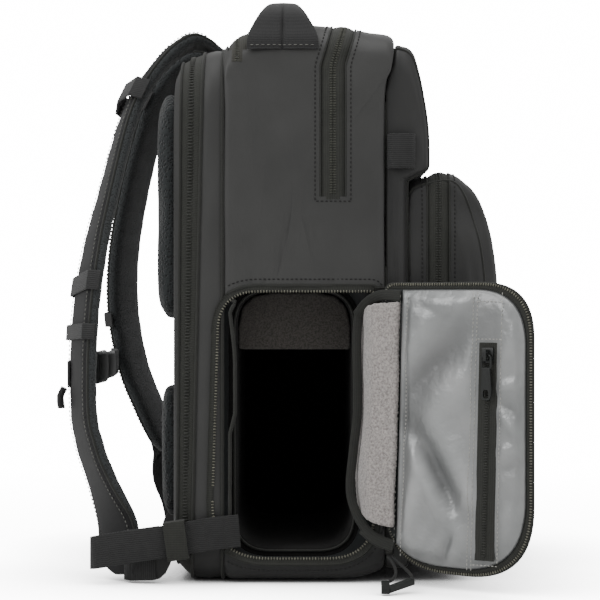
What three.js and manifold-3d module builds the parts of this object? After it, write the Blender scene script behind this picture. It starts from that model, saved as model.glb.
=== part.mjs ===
// A camera backpack that stands on its base with the padded door of its side compartment open.
// Millimetres. +X runs from the wearer's back to the front pocket, +Y across the bag, away from the
// open door, and +Z is up. The origin is the middle of the main compartment's base.
import * as THREE from "three";
import { mergeVertices } from "three/addons/utils/BufferGeometryUtils.js";
import Module from "manifold-3d";

const wasm = await Module();
wasm.setup();

// Cloth, foam and clearances
const GAP = 0.3;
const CLOTH = 2;
const WEBBING = 1.8;
const TAPE = 1.4;
const TEETH_PROUD = 1.2;
const TEETH_WIDTH = 4.5;

// Main compartment
const MAIN_DEPTH = 122;
const MAIN_HEIGHT = 420;
const MAIN_HALF_WIDTH = 143;
const MAIN_TOP_EDGE = 34;
const BACK_TOP_DROP = 17;
const FRONT_TOP_DROP = 9;
const FRONT_SHOULDER = 48;
const FRONT_SHOULDER_LEAN = 9;
const BASE_RISE = 8;
const BASE_RISE_LENGTH = 20;

// Rear compartment, a thin one for a laptop, whose zip runs all round the bag
const GUSSET_DEPTH = 14;
const GUSSET_LEAN = 9;
const REAR_TAPE_WIDTH = 17;
const REAR_TAPE_TAPER = 6;
const BOARD_THICKNESS = 6;
const REAR_TOP_CORNER = 52;
const REAR_BOTTOM_CORNER = 26;

// Front compartment and the pocket on it
const FRONT_DEPTH = 18;
const FRONT_BULGE = 16;
const FRONT_SIDE_STEP = 6;
const FRONT_HALF_WIDTH = MAIN_HALF_WIDTH - FRONT_SIDE_STEP;
const POCKET_DEPTH = 70;
const POCKET_HEIGHT = 310;
const POCKET_SIDE_STEP = 7;
const POCKET_HALF_WIDTH = FRONT_HALF_WIDTH - POCKET_SIDE_STEP;
const POCKET_FLOOR = 10;

// Zips, each placed by its distance from the seam behind it. A leg is how far a zip comes down the side.
const MAIN_ZIP_SETBACK = 73;
const MAIN_ZIP_WIDTH = 19;
const MAIN_ZIP_LEG = 132;
const MAIN_ZIP_LEAN = 14;
const TOP_ZIP_SETBACK = 3.5;
const TOP_ZIP_WIDTH = 15;
const TOP_ZIP_LEG = 22;
const POCKET_ZIP_SETBACK = 13.5;
const POCKET_ZIP_WIDTH = 17;
const POCKET_ZIP_LOW_END = 40;

// Side door and the opening that it covers
const OPENING_TOP = 222;
const OPENING_BOTTOM = 14;
const OPENING_PAST_SEAM = 7;
const OPENING_LEAN = 6;
const OPENING_HINGE_MARGIN = 4;
const OPENING_TOP_ROUND = 34;
const OPENING_LOW_ROUND = 48;
const OPENING_ZIP_WIDTH = 5;
const DOOR_WIDTH = 126;
const DOOR_THICKNESS = 8;
const DOOR_OPEN_DEG = 33;
const DOOR_OVERLAP = 4;
const DOOR_ZIP_WIDTH = 5;
const LINING_THICKNESS = 3;
const FLEECE_THICKNESS = 4;
const LINING_HEM = { low: 12.5, high: 15 };

// Padded insert behind the opening
const INSERT_DEPTH = 101;
const INSERT_TOP = 224;
const INSERT_WALL = 7;
const INSERT_FLOOR = 22;
const INSERT_SETBACK = 15;
const INSERT_ROUND = 26;
const DIVIDER_THICKNESS = 9;
const DIVIDER_DROP = 44;
const DIVIDER_SETBACK = 34;

// Back pads, whose bottom and top are shares of the main compartment's height
const PAD_HALF_WIDTH = 106;
const PAD_CHANNEL = 16;
const UPPER_PAD = { bottom: 0.455, top: 0.9, thick: 12 };
const LOWER_PAD = { bottom: 0.095, top: 0.362, thick: 9 };

// Shoulder straps, sternum strap and waist belt
const STRAP_REACH = 71;
const STRAP_WIDTH = 62;
const STRAP_THICKNESS = 12;
const STRAP_WEBBING_WIDTH = 22;
const STRAP_LOOP = { tall: 17, proud: 5 };
const STRAP_PATCH = { tall: 15, proud: 0 };
const STRAP_BAND = { tall: 12, proud: 0 };
const STERNUM_WIDTH = 20;
const BELT_WIDTH = 24;
const HANDLE_END_WIDTH = 53;
const HANDLE_GRIP_WIDTH = 27;
const HANDLE_RISE = 18;
const SIDE_LOOP_WIDTH = 26;
const WING_THICKNESS = 5;
const WING_SETBACK = 4;

// Pull cord of the door's lower slider
const CORD_DIAMETER = 2.4;
const CORD_SIDES = 8;
const CORD_STEP = 2.4 * CORD_DIAMETER;

const X_SEAM_BACK = -MAIN_DEPTH / 2;
const X_SEAM_FRONT = MAIN_DEPTH / 2;
const X_POCKET = X_SEAM_FRONT + FRONT_DEPTH;
const ARC_STEPS = 3;
const EDGE_STEPS = 3;

const COATED = { color: 0x4a4a48, roughness: 0.62, metalness: 0 };
const ZIP = { color: 0x3a3a34, roughness: 0.7, metalness: 0 };
const MESH = { color: 0x1c1f20, roughness: 0.95, metalness: 0 };
const WEB = { color: 0x333333, roughness: 0.85, metalness: 0 };
const LINING = { color: 0xa4a6a6, roughness: 0.42, metalness: 0 };
const FLEECE = { color: 0xaea8a5, roughness: 1, metalness: 0 };
const DARK_FLEECE = { color: 0x2c2c2a, roughness: 1, metalness: 0 };
const PLASTIC = { color: 0x242624, roughness: 0.5, metalness: 0 };
const METAL = { color: 0x9a9a98, roughness: 0.3, metalness: 1 };

const v2 = (x, y) => new THREE.Vector2(x, y);
const v3 = (x, y, z) => new THREE.Vector3(x, y, z);
const mix = THREE.MathUtils.lerp;

// Solids

// A closed geometry as a manifold-3d solid that faces out.
function solidOf(geometry) {
  const bare = geometry.index ? geometry.toNonIndexed() : geometry.clone();
  for (const name of Object.keys(bare.attributes)) {
    if (name !== "position") bare.deleteAttribute(name);
  }
  const merged = mergeVertices(bare, 1e-4);
  const triVerts = new Uint32Array(merged.index.array);
  const vertProperties = merged.attributes.position.array;
  const make = () => new wasm.Manifold(new wasm.Mesh({ numProp: 3, vertProperties, triVerts }));
  const made = make();
  if (made.volume() > 0) return made;
  for (let i = 0; i < triVerts.length; i += 3) {
    [triVerts[i + 1], triVerts[i + 2]] = [triVerts[i + 2], triVerts[i + 1]];
  }
  return make();
}

// A solid as a named mesh in its material.
function meshOf(name, solid, material) {
  const { vertProperties, triVerts } = solid.getMesh();
  const geometry = new THREE.BufferGeometry();
  geometry.setAttribute("position", new THREE.BufferAttribute(new Float32Array(vertProperties), 3));
  geometry.setIndex(new THREE.BufferAttribute(new Uint32Array(triVerts), 1));
  geometry.computeVertexNormals();
  const mesh = new THREE.Mesh(geometry, new THREE.MeshStandardMaterial(material));
  mesh.name = name;
  return mesh;
}

// A box between two corners.
function box(low, high) {
  const size = high.clone().sub(low);
  const middle = low.clone().add(high).multiplyScalar(0.5);
  return solidOf(new THREE.BoxGeometry(size.x, size.y, size.z).translate(middle.x, middle.y, middle.z));
}

// A closed outline through corners { x, y, round }. Each corner's curve starts its round distance away.
function outlineOf(corners) {
  const count = corners.length;
  return corners.flatMap((corner, i) => {
    const here = v2(corner.x, corner.y);
    const ends = [corners[(i + count - 1) % count], corners[(i + 1) % count]].map((other) => {
      const away = v2(other.x, other.y).sub(here);
      const reach = Math.min(corner.round, 0.47 * away.length());
      return here.clone().add(away.setLength(Math.max(reach, 0.4)));
    });
    return new THREE.QuadraticBezierCurve(ends[0], here, ends[1]).getPoints(ARC_STEPS);
  });
}

// A closed solid through sections { outline, at } of equal point counts. place(u, v, at) is a point in space.
function loft(sections, place) {
  const count = sections[0].outline.length;
  const points = sections.flatMap(({ outline, at }) => outline.map((p) => place(p.x, p.y, at)));
  const faces = [];
  for (let s = 0; s + 1 < sections.length; s++) {
    for (let i = 0; i < count; i++) {
      const a = s * count + i;
      const b = s * count + ((i + 1) % count);
      faces.push([a, b, b + count], [a, b + count, a + count]);
    }
  }
  const first = THREE.ShapeUtils.triangulateShape(sections[0].outline, []);
  const clockwise = THREE.ShapeUtils.isClockWise(sections[0].outline);
  const last = (sections.length - 1) * count;
  for (const [a, b, c] of first) {
    faces.push(clockwise ? [a, b, c] : [a, c, b]);
  }
  for (const [a, b, c] of THREE.ShapeUtils.triangulateShape(sections.at(-1).outline, [])) {
    faces.push(clockwise ? [last + a, last + c, last + b] : [last + a, last + b, last + c]);
  }
  const geometry = new THREE.BufferGeometry().setFromPoints(points);
  geometry.setIndex(faces.flat());
  return solidOf(geometry);
}

// Compartments seen from the side, with corners { x, y, round, inX, inZ }. y is the height, and inX and inZ
// point to the middle.

// The solid inside a compartment's cloth, moved in by wall, with its back face moved out by openBack.
function compartment(form, wall = 0, openBack = 0) {
  const { corners, halfWidth, edge, pull, crown, centre } = form;
  const ring = (share) =>
    outlineOf(
      corners.map((c) => ({
        x: c.x + c.inX * (wall + share * (c.inX > 0 ? pull.back : pull.front)) - (c.inX > 0 ? openBack : 0),
        y: c.y + c.inZ * (wall + share * (c.inZ > 0 ? pull.bottom : pull.top)),
        round: c.round,
      })),
    );
  const side = halfWidth - wall;
  const panel = ring(1);
  const half = [0.4, 0.8].map((share) => ({
    outline: panel.map((p) => v2(mix(centre.x, p.x, share), mix(centre.y, p.y, share))),
    at: side + crown * (1 - share * share),
  }));
  for (let k = 0; k <= EDGE_STEPS; k++) {
    const turn = (k / EDGE_STEPS) * (Math.PI / 2);
    half.push({ outline: ring(1 - Math.sin(turn)), at: side - edge * (1 - Math.cos(turn)) });
  }
  const near = half.map(({ outline, at }) => ({ outline, at: -at }));
  return loft([...near, ...half.reverse()], (x, z, y) => v3(x, y + dentAt(form, x, y, z), z));
}

// How far a form's near side is pushed in at a point, by its table of dents.
function dentAt(form, x, y, z) {
  if (y > -form.halfWidth / 2) return 0;
  return (form.dents ?? []).reduce((sum, { atX, atZ, across, tall, deep }) => {
    const dx = (x - form.centre.x - atX * MAIN_DEPTH) / (across * MAIN_DEPTH);
    const dz = (z - atZ * MAIN_HEIGHT) / (tall * MAIN_HEIGHT);
    return sum + deep * Math.exp(-dx * dx - dz * dz);
  }, 0);
}

const MAIN = {
  halfWidth: MAIN_HALF_WIDTH,
  edge: MAIN_TOP_EDGE,
  pull: { back: 2, front: 2, top: 24, bottom: 10 },
  crown: 2,
  centre: v2(0, MAIN_HEIGHT / 2),
  corners: [
    { x: X_SEAM_BACK, y: 0, round: 8, inX: 1, inZ: 1 },
    { x: X_SEAM_FRONT - BASE_RISE_LENGTH, y: 0, round: 18, inX: 0, inZ: 1 },
    { x: X_SEAM_FRONT, y: BASE_RISE, round: 6, inX: -1, inZ: 1 },
    { x: X_SEAM_FRONT, y: MAIN_HEIGHT - FRONT_SHOULDER, round: 16, inX: -1, inZ: 0 },
    { x: X_SEAM_FRONT + FRONT_SHOULDER_LEAN, y: MAIN_HEIGHT - FRONT_TOP_DROP, round: 9, inX: -1, inZ: -1 },
    { x: X_SEAM_FRONT - 0.33 * MAIN_DEPTH, y: MAIN_HEIGHT, round: 26, inX: 0, inZ: -1 },
    { x: X_SEAM_BACK + 0.22 * MAIN_DEPTH, y: MAIN_HEIGHT, round: 22, inX: 0, inZ: -1 },
    { x: X_SEAM_BACK, y: MAIN_HEIGHT - BACK_TOP_DROP, round: 7, inX: 1, inZ: -1 },
  ],
  dents: [
    { atX: 0.18, atZ: 0.575, across: 0.3, tall: 0.05, deep: 3 },
    { atX: -0.22, atZ: 0.56, across: 0.22, tall: 0.045, deep: 2.5 },
    { atX: 0.02, atZ: 0.72, across: 0.35, tall: 0.07, deep: -1.5 },
  ],
};

// A height above the pocket, as a share of what the main compartment rises over it.
const overPocket = (share) => mix(POCKET_HEIGHT, MAIN_HEIGHT, share);

const FRONT = {
  halfWidth: FRONT_HALF_WIDTH,
  edge: 18,
  pull: { back: 0, front: 7, top: 20, bottom: 10 },
  crown: 1,
  centre: v2(X_SEAM_FRONT + 0.6 * FRONT_DEPTH, 0.69 * MAIN_HEIGHT),
  corners: [
    { x: X_SEAM_FRONT + GAP, y: BASE_RISE + 1, round: 3, inX: 1, inZ: 1 },
    { x: X_POCKET, y: BASE_RISE + 1, round: 3, inX: -1, inZ: 1 },
    { x: X_POCKET, y: POCKET_HEIGHT - 9, round: 2, inX: -1, inZ: 0 },
    { x: X_POCKET + FRONT_BULGE, y: POCKET_HEIGHT - 1, round: 4, inX: -1, inZ: 0 },
    { x: X_POCKET + FRONT_BULGE, y: overPocket(0.282), round: 26, inX: -1, inZ: 0 },
    { x: X_POCKET + 0.58 * FRONT_BULGE, y: overPocket(0.637), round: 14, inX: -1, inZ: -0.5 },
    { x: X_POCKET + 0.2 * FRONT_BULGE, y: overPocket(0.828), round: 8, inX: -1, inZ: -1 },
    { x: X_SEAM_FRONT + 0.9 * FRONT_SHOULDER_LEAN, y: overPocket(0.859), round: 3, inX: 1, inZ: -1 },
    { x: X_SEAM_FRONT + GAP, y: MAIN_HEIGHT - FRONT_SHOULDER, round: 14, inX: 1, inZ: 0 },
  ],
};

const POCKET = {
  halfWidth: POCKET_HALF_WIDTH,
  edge: 20,
  pull: { back: 0, front: 20, top: 12, bottom: 8 },
  crown: 2,
  centre: v2(X_POCKET + 0.45 * POCKET_DEPTH, 0.5 * POCKET_HEIGHT),
  corners: [
    { x: X_POCKET + GAP, y: POCKET_FLOOR, round: 4, inX: 1, inZ: 1 },
    { x: X_POCKET + 0.72 * POCKET_DEPTH, y: POCKET_FLOOR, round: 16, inX: 0, inZ: 1 },
    { x: X_POCKET + 0.97 * POCKET_DEPTH, y: 0.15 * POCKET_HEIGHT, round: 24, inX: -1, inZ: 0.5 },
    { x: X_POCKET + POCKET_DEPTH, y: 0.5 * POCKET_HEIGHT, round: 50, inX: -1, inZ: 0 },
    { x: X_POCKET + 0.97 * POCKET_DEPTH, y: 0.78 * POCKET_HEIGHT, round: 30, inX: -1, inZ: 0 },
    { x: X_POCKET + 0.8 * POCKET_DEPTH, y: 0.93 * POCKET_HEIGHT, round: 16, inX: -1, inZ: -0.5 },
    { x: X_POCKET + 0.48 * POCKET_DEPTH, y: POCKET_HEIGHT, round: 12, inX: 0, inZ: -1 },
    { x: X_POCKET + GAP, y: POCKET_HEIGHT - 8, round: 8, inX: 1, inZ: -1 },
  ],
  dents: [{ atX: 0.12, atZ: 0.66, across: 0.11, tall: 0.022, deep: 5 }],
};

// The slice of space that a zip's slot takes above its low end. Over the bag's top it leans to the front.
function zipSlot({ x, width, lowEnd, lean = 0 }, inset = 0) {
  const bend = MAIN_HEIGHT - 34;
  const top = MAIN_HEIGHT + 12;
  const left = x + inset;
  const right = x + width - inset;
  const bends = lean ? [{ x: right, y: bend }, { x: left, y: bend }] : [];
  const corners = [
    { x: left, y: lowEnd + Math.min(inset, 2) },
    { x: right, y: lowEnd + Math.min(inset, 2) },
    ...bends.slice(0, 1),
    { x: right + lean, y: top },
    { x: left + lean, y: top },
    ...bends.slice(1),
  ];
  const sharp = corners.map((corner) => ({ ...corner, round: 0 }));
  return sidePrism(sharp, -2 * MAIN_HALF_WIDTH, 2 * MAIN_HALF_WIDTH);
}

// A zip's tape with its raised teeth, lying in the slot that it closes.
function zipBand(form, slot) {
  const tape = compartment(form, -0.2).subtract(compartment(form, TAPE)).intersect(zipSlot(slot, GAP));
  const teeth = compartment(form, -TEETH_PROUD)
    .subtract(compartment(form, TAPE / 2))
    .intersect(zipSlot(slot, (slot.width - TEETH_WIDTH) / 2));
  return tape.add(teeth);
}

// The opening in the near side, as corners seen from the side, moved in by inset.
function openingCorners(inset) {
  const left = X_SEAM_BACK - OPENING_PAST_SEAM;
  const right = X_SEAM_FRONT - OPENING_HINGE_MARGIN;
  return [
    { x: left - OPENING_LEAN + inset, y: OPENING_BOTTOM + inset, round: OPENING_LOW_ROUND },
    { x: right - inset, y: OPENING_BOTTOM + inset, round: OPENING_LOW_ROUND - 8 },
    { x: right - inset, y: OPENING_TOP - inset, round: 8 },
    { x: left + inset, y: OPENING_TOP - inset, round: OPENING_TOP_ROUND },
  ];
}

// A prism of a side-view outline between two places across the bag.
function sidePrism(corners, yNear, yFar) {
  const outline = outlineOf(corners);
  return loft(
    [
      { outline, at: yNear },
      { outline, at: yFar },
    ],
    (x, z, y) => v3(x, y, z),
  );
}

const Y_NEAR = -MAIN_HALF_WIDTH;
const Y_INSERT = Y_NEAR + INSERT_SETBACK;
const openingCut = sidePrism(openingCorners(0), Y_NEAR - 20, Y_INSERT);

const MAIN_SLOT = {
  x: X_SEAM_BACK + MAIN_ZIP_SETBACK,
  width: MAIN_ZIP_WIDTH,
  lowEnd: MAIN_HEIGHT - MAIN_ZIP_LEG,
  lean: MAIN_ZIP_LEAN,
};
const TOP_SLOT = {
  x: X_SEAM_BACK + TOP_ZIP_SETBACK,
  width: TOP_ZIP_WIDTH,
  lowEnd: MAIN_HEIGHT - TOP_ZIP_LEG,
};
const FRONT_POCKET_SLOT = {
  x: X_POCKET + POCKET_ZIP_SETBACK,
  width: POCKET_ZIP_WIDTH,
  lowEnd: POCKET_ZIP_LOW_END,
};

function mainShell() {
  return compartment(MAIN)
    .subtract(compartment(MAIN, CLOTH))
    .subtract(openingCut)
    .subtract(zipSlot(MAIN_SLOT))
    .subtract(zipSlot(TOP_SLOT));
}

function frontShell() {
  return compartment(FRONT).subtract(compartment(FRONT, CLOTH, 4 * CLOTH));
}

function pocketShell() {
  return compartment(POCKET)
    .subtract(compartment(POCKET, CLOTH, 4 * CLOTH))
    .subtract(zipSlot(FRONT_POCKET_SLOT));
}

// Rear compartment, seen from behind. A station's top and bottom edges lie at different depths, so it leans.
const REAR_STATIONS = {
  seam: {
    top: MAIN_HEIGHT - 18,
    bottom: 2,
    half: MAIN_HALF_WIDTH - 1,
    xTop: X_SEAM_BACK,
    xBottom: X_SEAM_BACK,
  },
  gusset: {
    top: MAIN_HEIGHT - 20,
    bottom: 2,
    half: MAIN_HALF_WIDTH - 2,
    xTop: X_SEAM_BACK - GUSSET_DEPTH,
    xBottom: X_SEAM_BACK - GUSSET_DEPTH - GUSSET_LEAN,
  },
  tape: {
    top: MAIN_HEIGHT - 27,
    bottom: 12,
    half: MAIN_HALF_WIDTH - 6,
    xTop: X_SEAM_BACK - GUSSET_DEPTH - REAR_TAPE_WIDTH,
    xBottom: X_SEAM_BACK - GUSSET_DEPTH - GUSSET_LEAN - (REAR_TAPE_WIDTH - REAR_TAPE_TAPER),
  },
  board: {
    top: MAIN_HEIGHT - 38,
    bottom: 30,
    half: MAIN_HALF_WIDTH - 14,
    xTop: X_SEAM_BACK - GUSSET_DEPTH - REAR_TAPE_WIDTH - BOARD_THICKNESS,
    xBottom: X_SEAM_BACK - GUSSET_DEPTH - REAR_TAPE_WIDTH - BOARD_THICKNESS,
  },
};
const X_BOARD = REAR_STATIONS.board.xTop;

// One station's outline moved in by wall, and moved back along the bag by slide.
function rearSection(station, wall = 0, slide = 0) {
  const { top, bottom, half, xTop, xBottom } = station;
  const outline = outlineOf([
    { x: -half + wall, y: bottom + wall, round: REAR_BOTTOM_CORNER },
    { x: half - wall, y: bottom + wall, round: REAR_BOTTOM_CORNER },
    { x: half - wall, y: top - wall, round: REAR_TOP_CORNER },
    { x: -half + wall, y: top - wall, round: REAR_TOP_CORNER },
  ]);
  return { outline, at: (z) => mix(xBottom, xTop, z / MAIN_HEIGHT) + slide };
}

const rearPlace = (y, z, xAt) => v3(xAt(z), y, z);

// A ring of cloth between two stations, open at its front and back.
function rearRing(front, back, wall) {
  const outer = loft([rearSection(front, 0, -GAP), rearSection(back)], rearPlace);
  const inner = loft([rearSection(front, wall, 2), rearSection(back, wall, -2)], rearPlace);
  return outer.subtract(inner);
}

function rearGusset() {
  return rearRing(REAR_STATIONS.seam, REAR_STATIONS.gusset, CLOTH).subtract(openingCut);
}

function rearZip() {
  return rearRing(REAR_STATIONS.gusset, REAR_STATIONS.tape, CLOTH);
}

function backBoard() {
  const { tape, board } = REAR_STATIONS;
  return loft([rearSection(tape, 0, -GAP), rearSection(board)], rearPlace);
}

// A back pad between two places across the bag, domed towards the wearer.
function backPad({ bottom, top, thick }, yLow, yHigh) {
  const low = bottom * MAIN_HEIGHT;
  const high = top * MAIN_HEIGHT;
  const domes = [
    { share: 0, inset: 2 },
    { share: 0.45, inset: 0 },
    { share: 0.8, inset: 3 },
    { share: 1, inset: 11 },
  ];
  const sections = domes.map(({ share, inset }) => ({
    outline: outlineOf([
      { x: yLow + inset, y: low + inset, round: 22 },
      { x: yHigh - inset, y: low + inset, round: 22 },
      { x: yHigh - inset, y: high - inset, round: 26 },
      { x: yLow + inset, y: high - inset, round: 26 },
    ]),
    at: X_BOARD - GAP - share * thick,
  }));
  return loft(sections, (y, z, x) => v3(x, y, z));
}

// Straps. A place has columns back, side and up: how far it is behind the back board, across the bag from its
// middle and above the floor, as shares of STRAP_REACH, MAIN_HALF_WIDTH and MAIN_HEIGHT. A strap's table adds
// its width and thickness, as shares of the whole strap's, and turn, the degrees that its outer face turns
// from straight back towards the near side.

const strapPlace = (back, side, up) =>
  v3(X_BOARD - back * STRAP_REACH, side * MAIN_HALF_WIDTH, up * MAIN_HEIGHT);

// The table's stations with its gaps filled along one smooth curve, for a strap of the given full size.
function refine(table, stepsEach, { wide = STRAP_WIDTH, thick = STRAP_THICKNESS } = {}) {
  const curve = new THREE.CatmullRomCurve3(table.map(({ back, side, up }) => strapPlace(back, side, up)));
  const spans = table.length - 1;
  return Array.from({ length: spans * stepsEach + 1 }, (_, i) => {
    const k = Math.min(Math.floor(i / stepsEach), spans - 1);
    const share = i / stepsEach - k;
    const column = (name, absent) => mix(table[k][name] ?? absent, table[k + 1][name] ?? absent, share);
    return {
      centre: curve.getPoint(i / (spans * stepsEach)),
      tangent: curve.getTangent(i / (spans * stepsEach)),
      wide: wide * column("wide", 1),
      thick: thick * column("thick", 1),
      turn: THREE.MathUtils.degToRad(column("turn", 0)),
    };
  });
}

// Stations through rows [back, side, up], for a band of one width.
function bandThrough(rows, wide, { thick = WEBBING, stepsEach = 2 } = {}) {
  return refine(rows.map(([back, side, up]) => ({ back, side, up })), stepsEach, { wide, thick });
}

const FLAT_SECTION = [v2(-1, -1), v2(1, -1), v2(1, 1), v2(-1, 1)];
const PADDED_SECTION = [
  [-1, -0.35],
  [-0.82, -0.9],
  [0, -1],
  [0.82, -0.9],
  [1, -0.35],
  [1, 0.35],
  [0.82, 0.9],
  [0, 1],
  [-0.82, 0.9],
  [-1, 0.35],
].map(([x, y]) => v2(x, y));

// The directions across a strap and out of its outer face at a station.
function strapFrame(station, across) {
  const normal = station.tangent.clone().cross(across(station)).normalize();
  return { ...station, normal, side: normal.clone().cross(station.tangent).normalize() };
}

// A strap along stations, whose width runs along across(station).
function strapSolid(stations, { section = FLAT_SECTION, grow = 0, across = acrossBag } = {}) {
  const frames = stations.map((station) => strapFrame(station, across));
  const sections = frames.map((frame, at) => ({
    outline: section.map((p) => v2(p.x * (frame.wide / 2 + grow), p.y * (frame.thick / 2 + grow))),
    at,
  }));
  return loft(sections, (a, b, at) =>
    frames[at].centre.clone().addScaledVector(frames[at].side, a).addScaledVector(frames[at].normal, b),
  );
}

const acrossBag = ({ turn }) => v3(Math.sin(turn), -Math.cos(turn), 0);
const upright = () => v3(0, 0, 1);

const NEAR_STRAP = [
  { back: -0.479, side: -0.357, up: 0.963, wide: 0.74, thick: 0.42, turn: 3 },
  { back: -0.282, side: -0.364, up: 0.983, wide: 0.81, thick: 0.67, turn: 4 },
  { back: -0.113, side: -0.371, up: 0.986, wide: 0.9, thick: 0.92, turn: 6 },
  { back: 0.141, side: -0.385, up: 0.955, wide: 1, thick: 1, turn: 8 },
  { back: 0.394, side: -0.42, up: 0.898, wide: 1, thick: 1, turn: 10 },
  { back: 0.563, side: -0.476, up: 0.831, wide: 1, thick: 1, turn: 11 },
  { back: 0.746, side: -0.559, up: 0.705, wide: 1, thick: 1, turn: 13 },
  { back: 0.887, side: -0.629, up: 0.595, wide: 1, thick: 1, turn: 16 },
  { back: 0.986, side: -0.685, up: 0.462, wide: 1, thick: 1, turn: 18 },
  { back: 1, side: -0.699, up: 0.31, wide: 1, thick: 1, turn: 18 },
  { back: 0.93, side: -0.706, up: 0.238, wide: 1, thick: 1, turn: 20 },
  { back: 0.789, side: -0.727, up: 0.171, wide: 0.94, thick: 1, turn: 23 },
  { back: 0.648, side: -0.776, up: 0.11, wide: 0.84, thick: 0.92, turn: 32 },
  { back: 0.563, side: -0.846, up: 0.06, wide: 0.61, thick: 0.75, turn: 48 },
  { back: 0.535, side: -0.888, up: 0.026, wide: 0.45, thick: 0.58, turn: 58 },
  { back: 0.535, side: -0.902, up: 0.012, wide: 0.23, thick: 0.42, turn: 60 },
];

const FAR_STRAP = [
  { back: -0.479, side: 0.357, up: 0.963, wide: 0.74, thick: 0.42, turn: -3 },
  { back: -0.282, side: 0.364, up: 0.983, wide: 0.81, thick: 0.67, turn: -4 },
  { back: -0.113, side: 0.371, up: 0.986, wide: 0.9, thick: 0.92, turn: -6 },
  { back: 0.113, side: 0.385, up: 0.957, wide: 1, thick: 1, turn: -8 },
  { back: 0.338, side: 0.434, up: 0.9, wide: 1, thick: 1, turn: -10 },
  { back: 0.479, side: 0.49, up: 0.838, wide: 1, thick: 1, turn: -11 },
  { back: 0.662, side: 0.573, up: 0.721, wide: 1, thick: 1, turn: -12 },
  { back: 0.789, side: 0.643, up: 0.605, wide: 1, thick: 1, turn: -13 },
  { back: 0.817, side: 0.685, up: 0.505, wide: 1, thick: 1, turn: -14 },
  { back: 0.761, side: 0.713, up: 0.419, wide: 1, thick: 1, turn: -14 },
  { back: 0.662, side: 0.734, up: 0.35, wide: 1, thick: 1, turn: -14 },
  { back: 0.507, side: 0.755, up: 0.283, wide: 0.97, thick: 1, turn: -14 },
  { back: 0.38, side: 0.776, up: 0.229, wide: 0.81, thick: 0.83, turn: -14 },
  { back: 0.31, side: 0.79, up: 0.2, wide: 0.48, thick: 0.58, turn: -14 },
];

function paddedStrap(table) {
  return strapSolid(refine(table, 1), { section: PADDED_SECTION });
}

// A band of webbing across a padded strap's outer face, rising off it by high at its middle.
function strapBand(table, share, { tall: wide, proud: high }) {
  const all = refine(table, 8);
  const { centre, side, normal, tangent, wide: full, thick } = strapFrame(
    all[Math.round(share * (all.length - 1))],
    acrossBag,
  );
  const clear = WEBBING / 2 + 3 * GAP;
  const places = [
    [-0.5 * full - 2 * clear, -1],
    [-0.44 * full - clear, 0.46 * thick + clear + 0.3 * high],
    [0, 0.5 * thick + clear + high],
    [0.44 * full + clear, 0.46 * thick + clear + 0.3 * high],
    [0.5 * full + 2 * clear, -1],
  ];
  const stations = places.map(([along, out], i) => {
    const [before, after] = [places[Math.max(i - 1, 0)], places[Math.min(i + 1, places.length - 1)]];
    const sideways = side.clone().multiplyScalar(after[0] - before[0]);
    const run = sideways.addScaledVector(normal, after[1] - before[1]);
    return {
      centre: centre.clone().addScaledVector(side, along).addScaledVector(normal, out),
      tangent: run.normalize(),
      wide,
      thick: WEBBING,
    };
  });
  return strapSolid(stations, { across: () => tangent });
}

// Webbing from a strap's lower end to its wing. The near one is short and upright, the far one turns.
const NEAR_WEBBING = [
  [0.514, -0.934, 0.0298],
  [0.444, -0.976, 0.0298],
  [0.38, -0.997, 0.031],
  [0.282, -0.999, 0.031],
  [0.183, -0.998, 0.0321],
];
const FAR_WEBBING = [
  { back: 0.477, side: 0.787, up: 0.231, turn: -14 },
  { back: 0.403, side: 0.803, up: 0.195, turn: -20 },
  { back: 0.352, side: 0.895, up: 0.138, turn: -50 },
  { back: 0.239, side: 0.999, up: 0.081, turn: -85 },
  { back: 0.183, side: 0.999, up: 0.036, turn: -90 },
];

const STERNUM_NEAR = [
  [1.176, -0.598, 0.3643],
  [1.199, -0.542, 0.3655],
  [1.192, -0.486, 0.3667],
  [1.113, -0.406, 0.3714],
  [0.958, -0.336, 0.3738],
];
const STERNUM_FAR = [
  [0.799, 0.042, 0.3786],
  [0.81, 0.28, 0.381],
  [0.866, 0.448, 0.381],
  [0.925, 0.531, 0.381],
  [0.918, 0.601, 0.381],
];

function farWebbing() {
  return strapSolid(refine(FAR_WEBBING, 3, { wide: STRAP_WEBBING_WIDTH, thick: WEBBING }));
}

function uprightBand(rows, wide) {
  return strapSolid(bandThrough(rows, wide), { across: upright });
}

// The closed side-release buckle's halves, by their ends along the sternum strap.
const SOCKET = {
  rows: [
    [0.952, -0.326, 0.3738],
    [0.877, -0.133, 0.3762],
  ],
  wide: 26,
  thick: 7,
};
const PLUG = {
  rows: [
    [0.875, -0.13, 0.3762],
    [0.821, 0.035, 0.3786],
  ],
  wide: 22,
  thick: 6,
};

function buckleHalf({ rows, wide, thick }) {
  const stations = bandThrough(rows, wide, { thick, stepsEach: 1 });
  return strapSolid(stations, { across: upright, section: PADDED_SECTION });
}

// Rolled end of the sternum webbing, hanging off the near strap's far edge.
const TAIL = {
  rows: [
    [1.246, -0.524, 0.34],
    [1.289, -0.531, 0.3238],
    [1.275, -0.538, 0.3024],
  ],
  wide: 14,
  thick: 5,
};

function sternumTail() {
  const { rows, wide, thick } = TAIL;
  const stations = bandThrough(rows, wide, { thick });
  return strapSolid(stations, { section: PADDED_SECTION, across: () => v3(0, 1, 0) });
}

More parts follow.
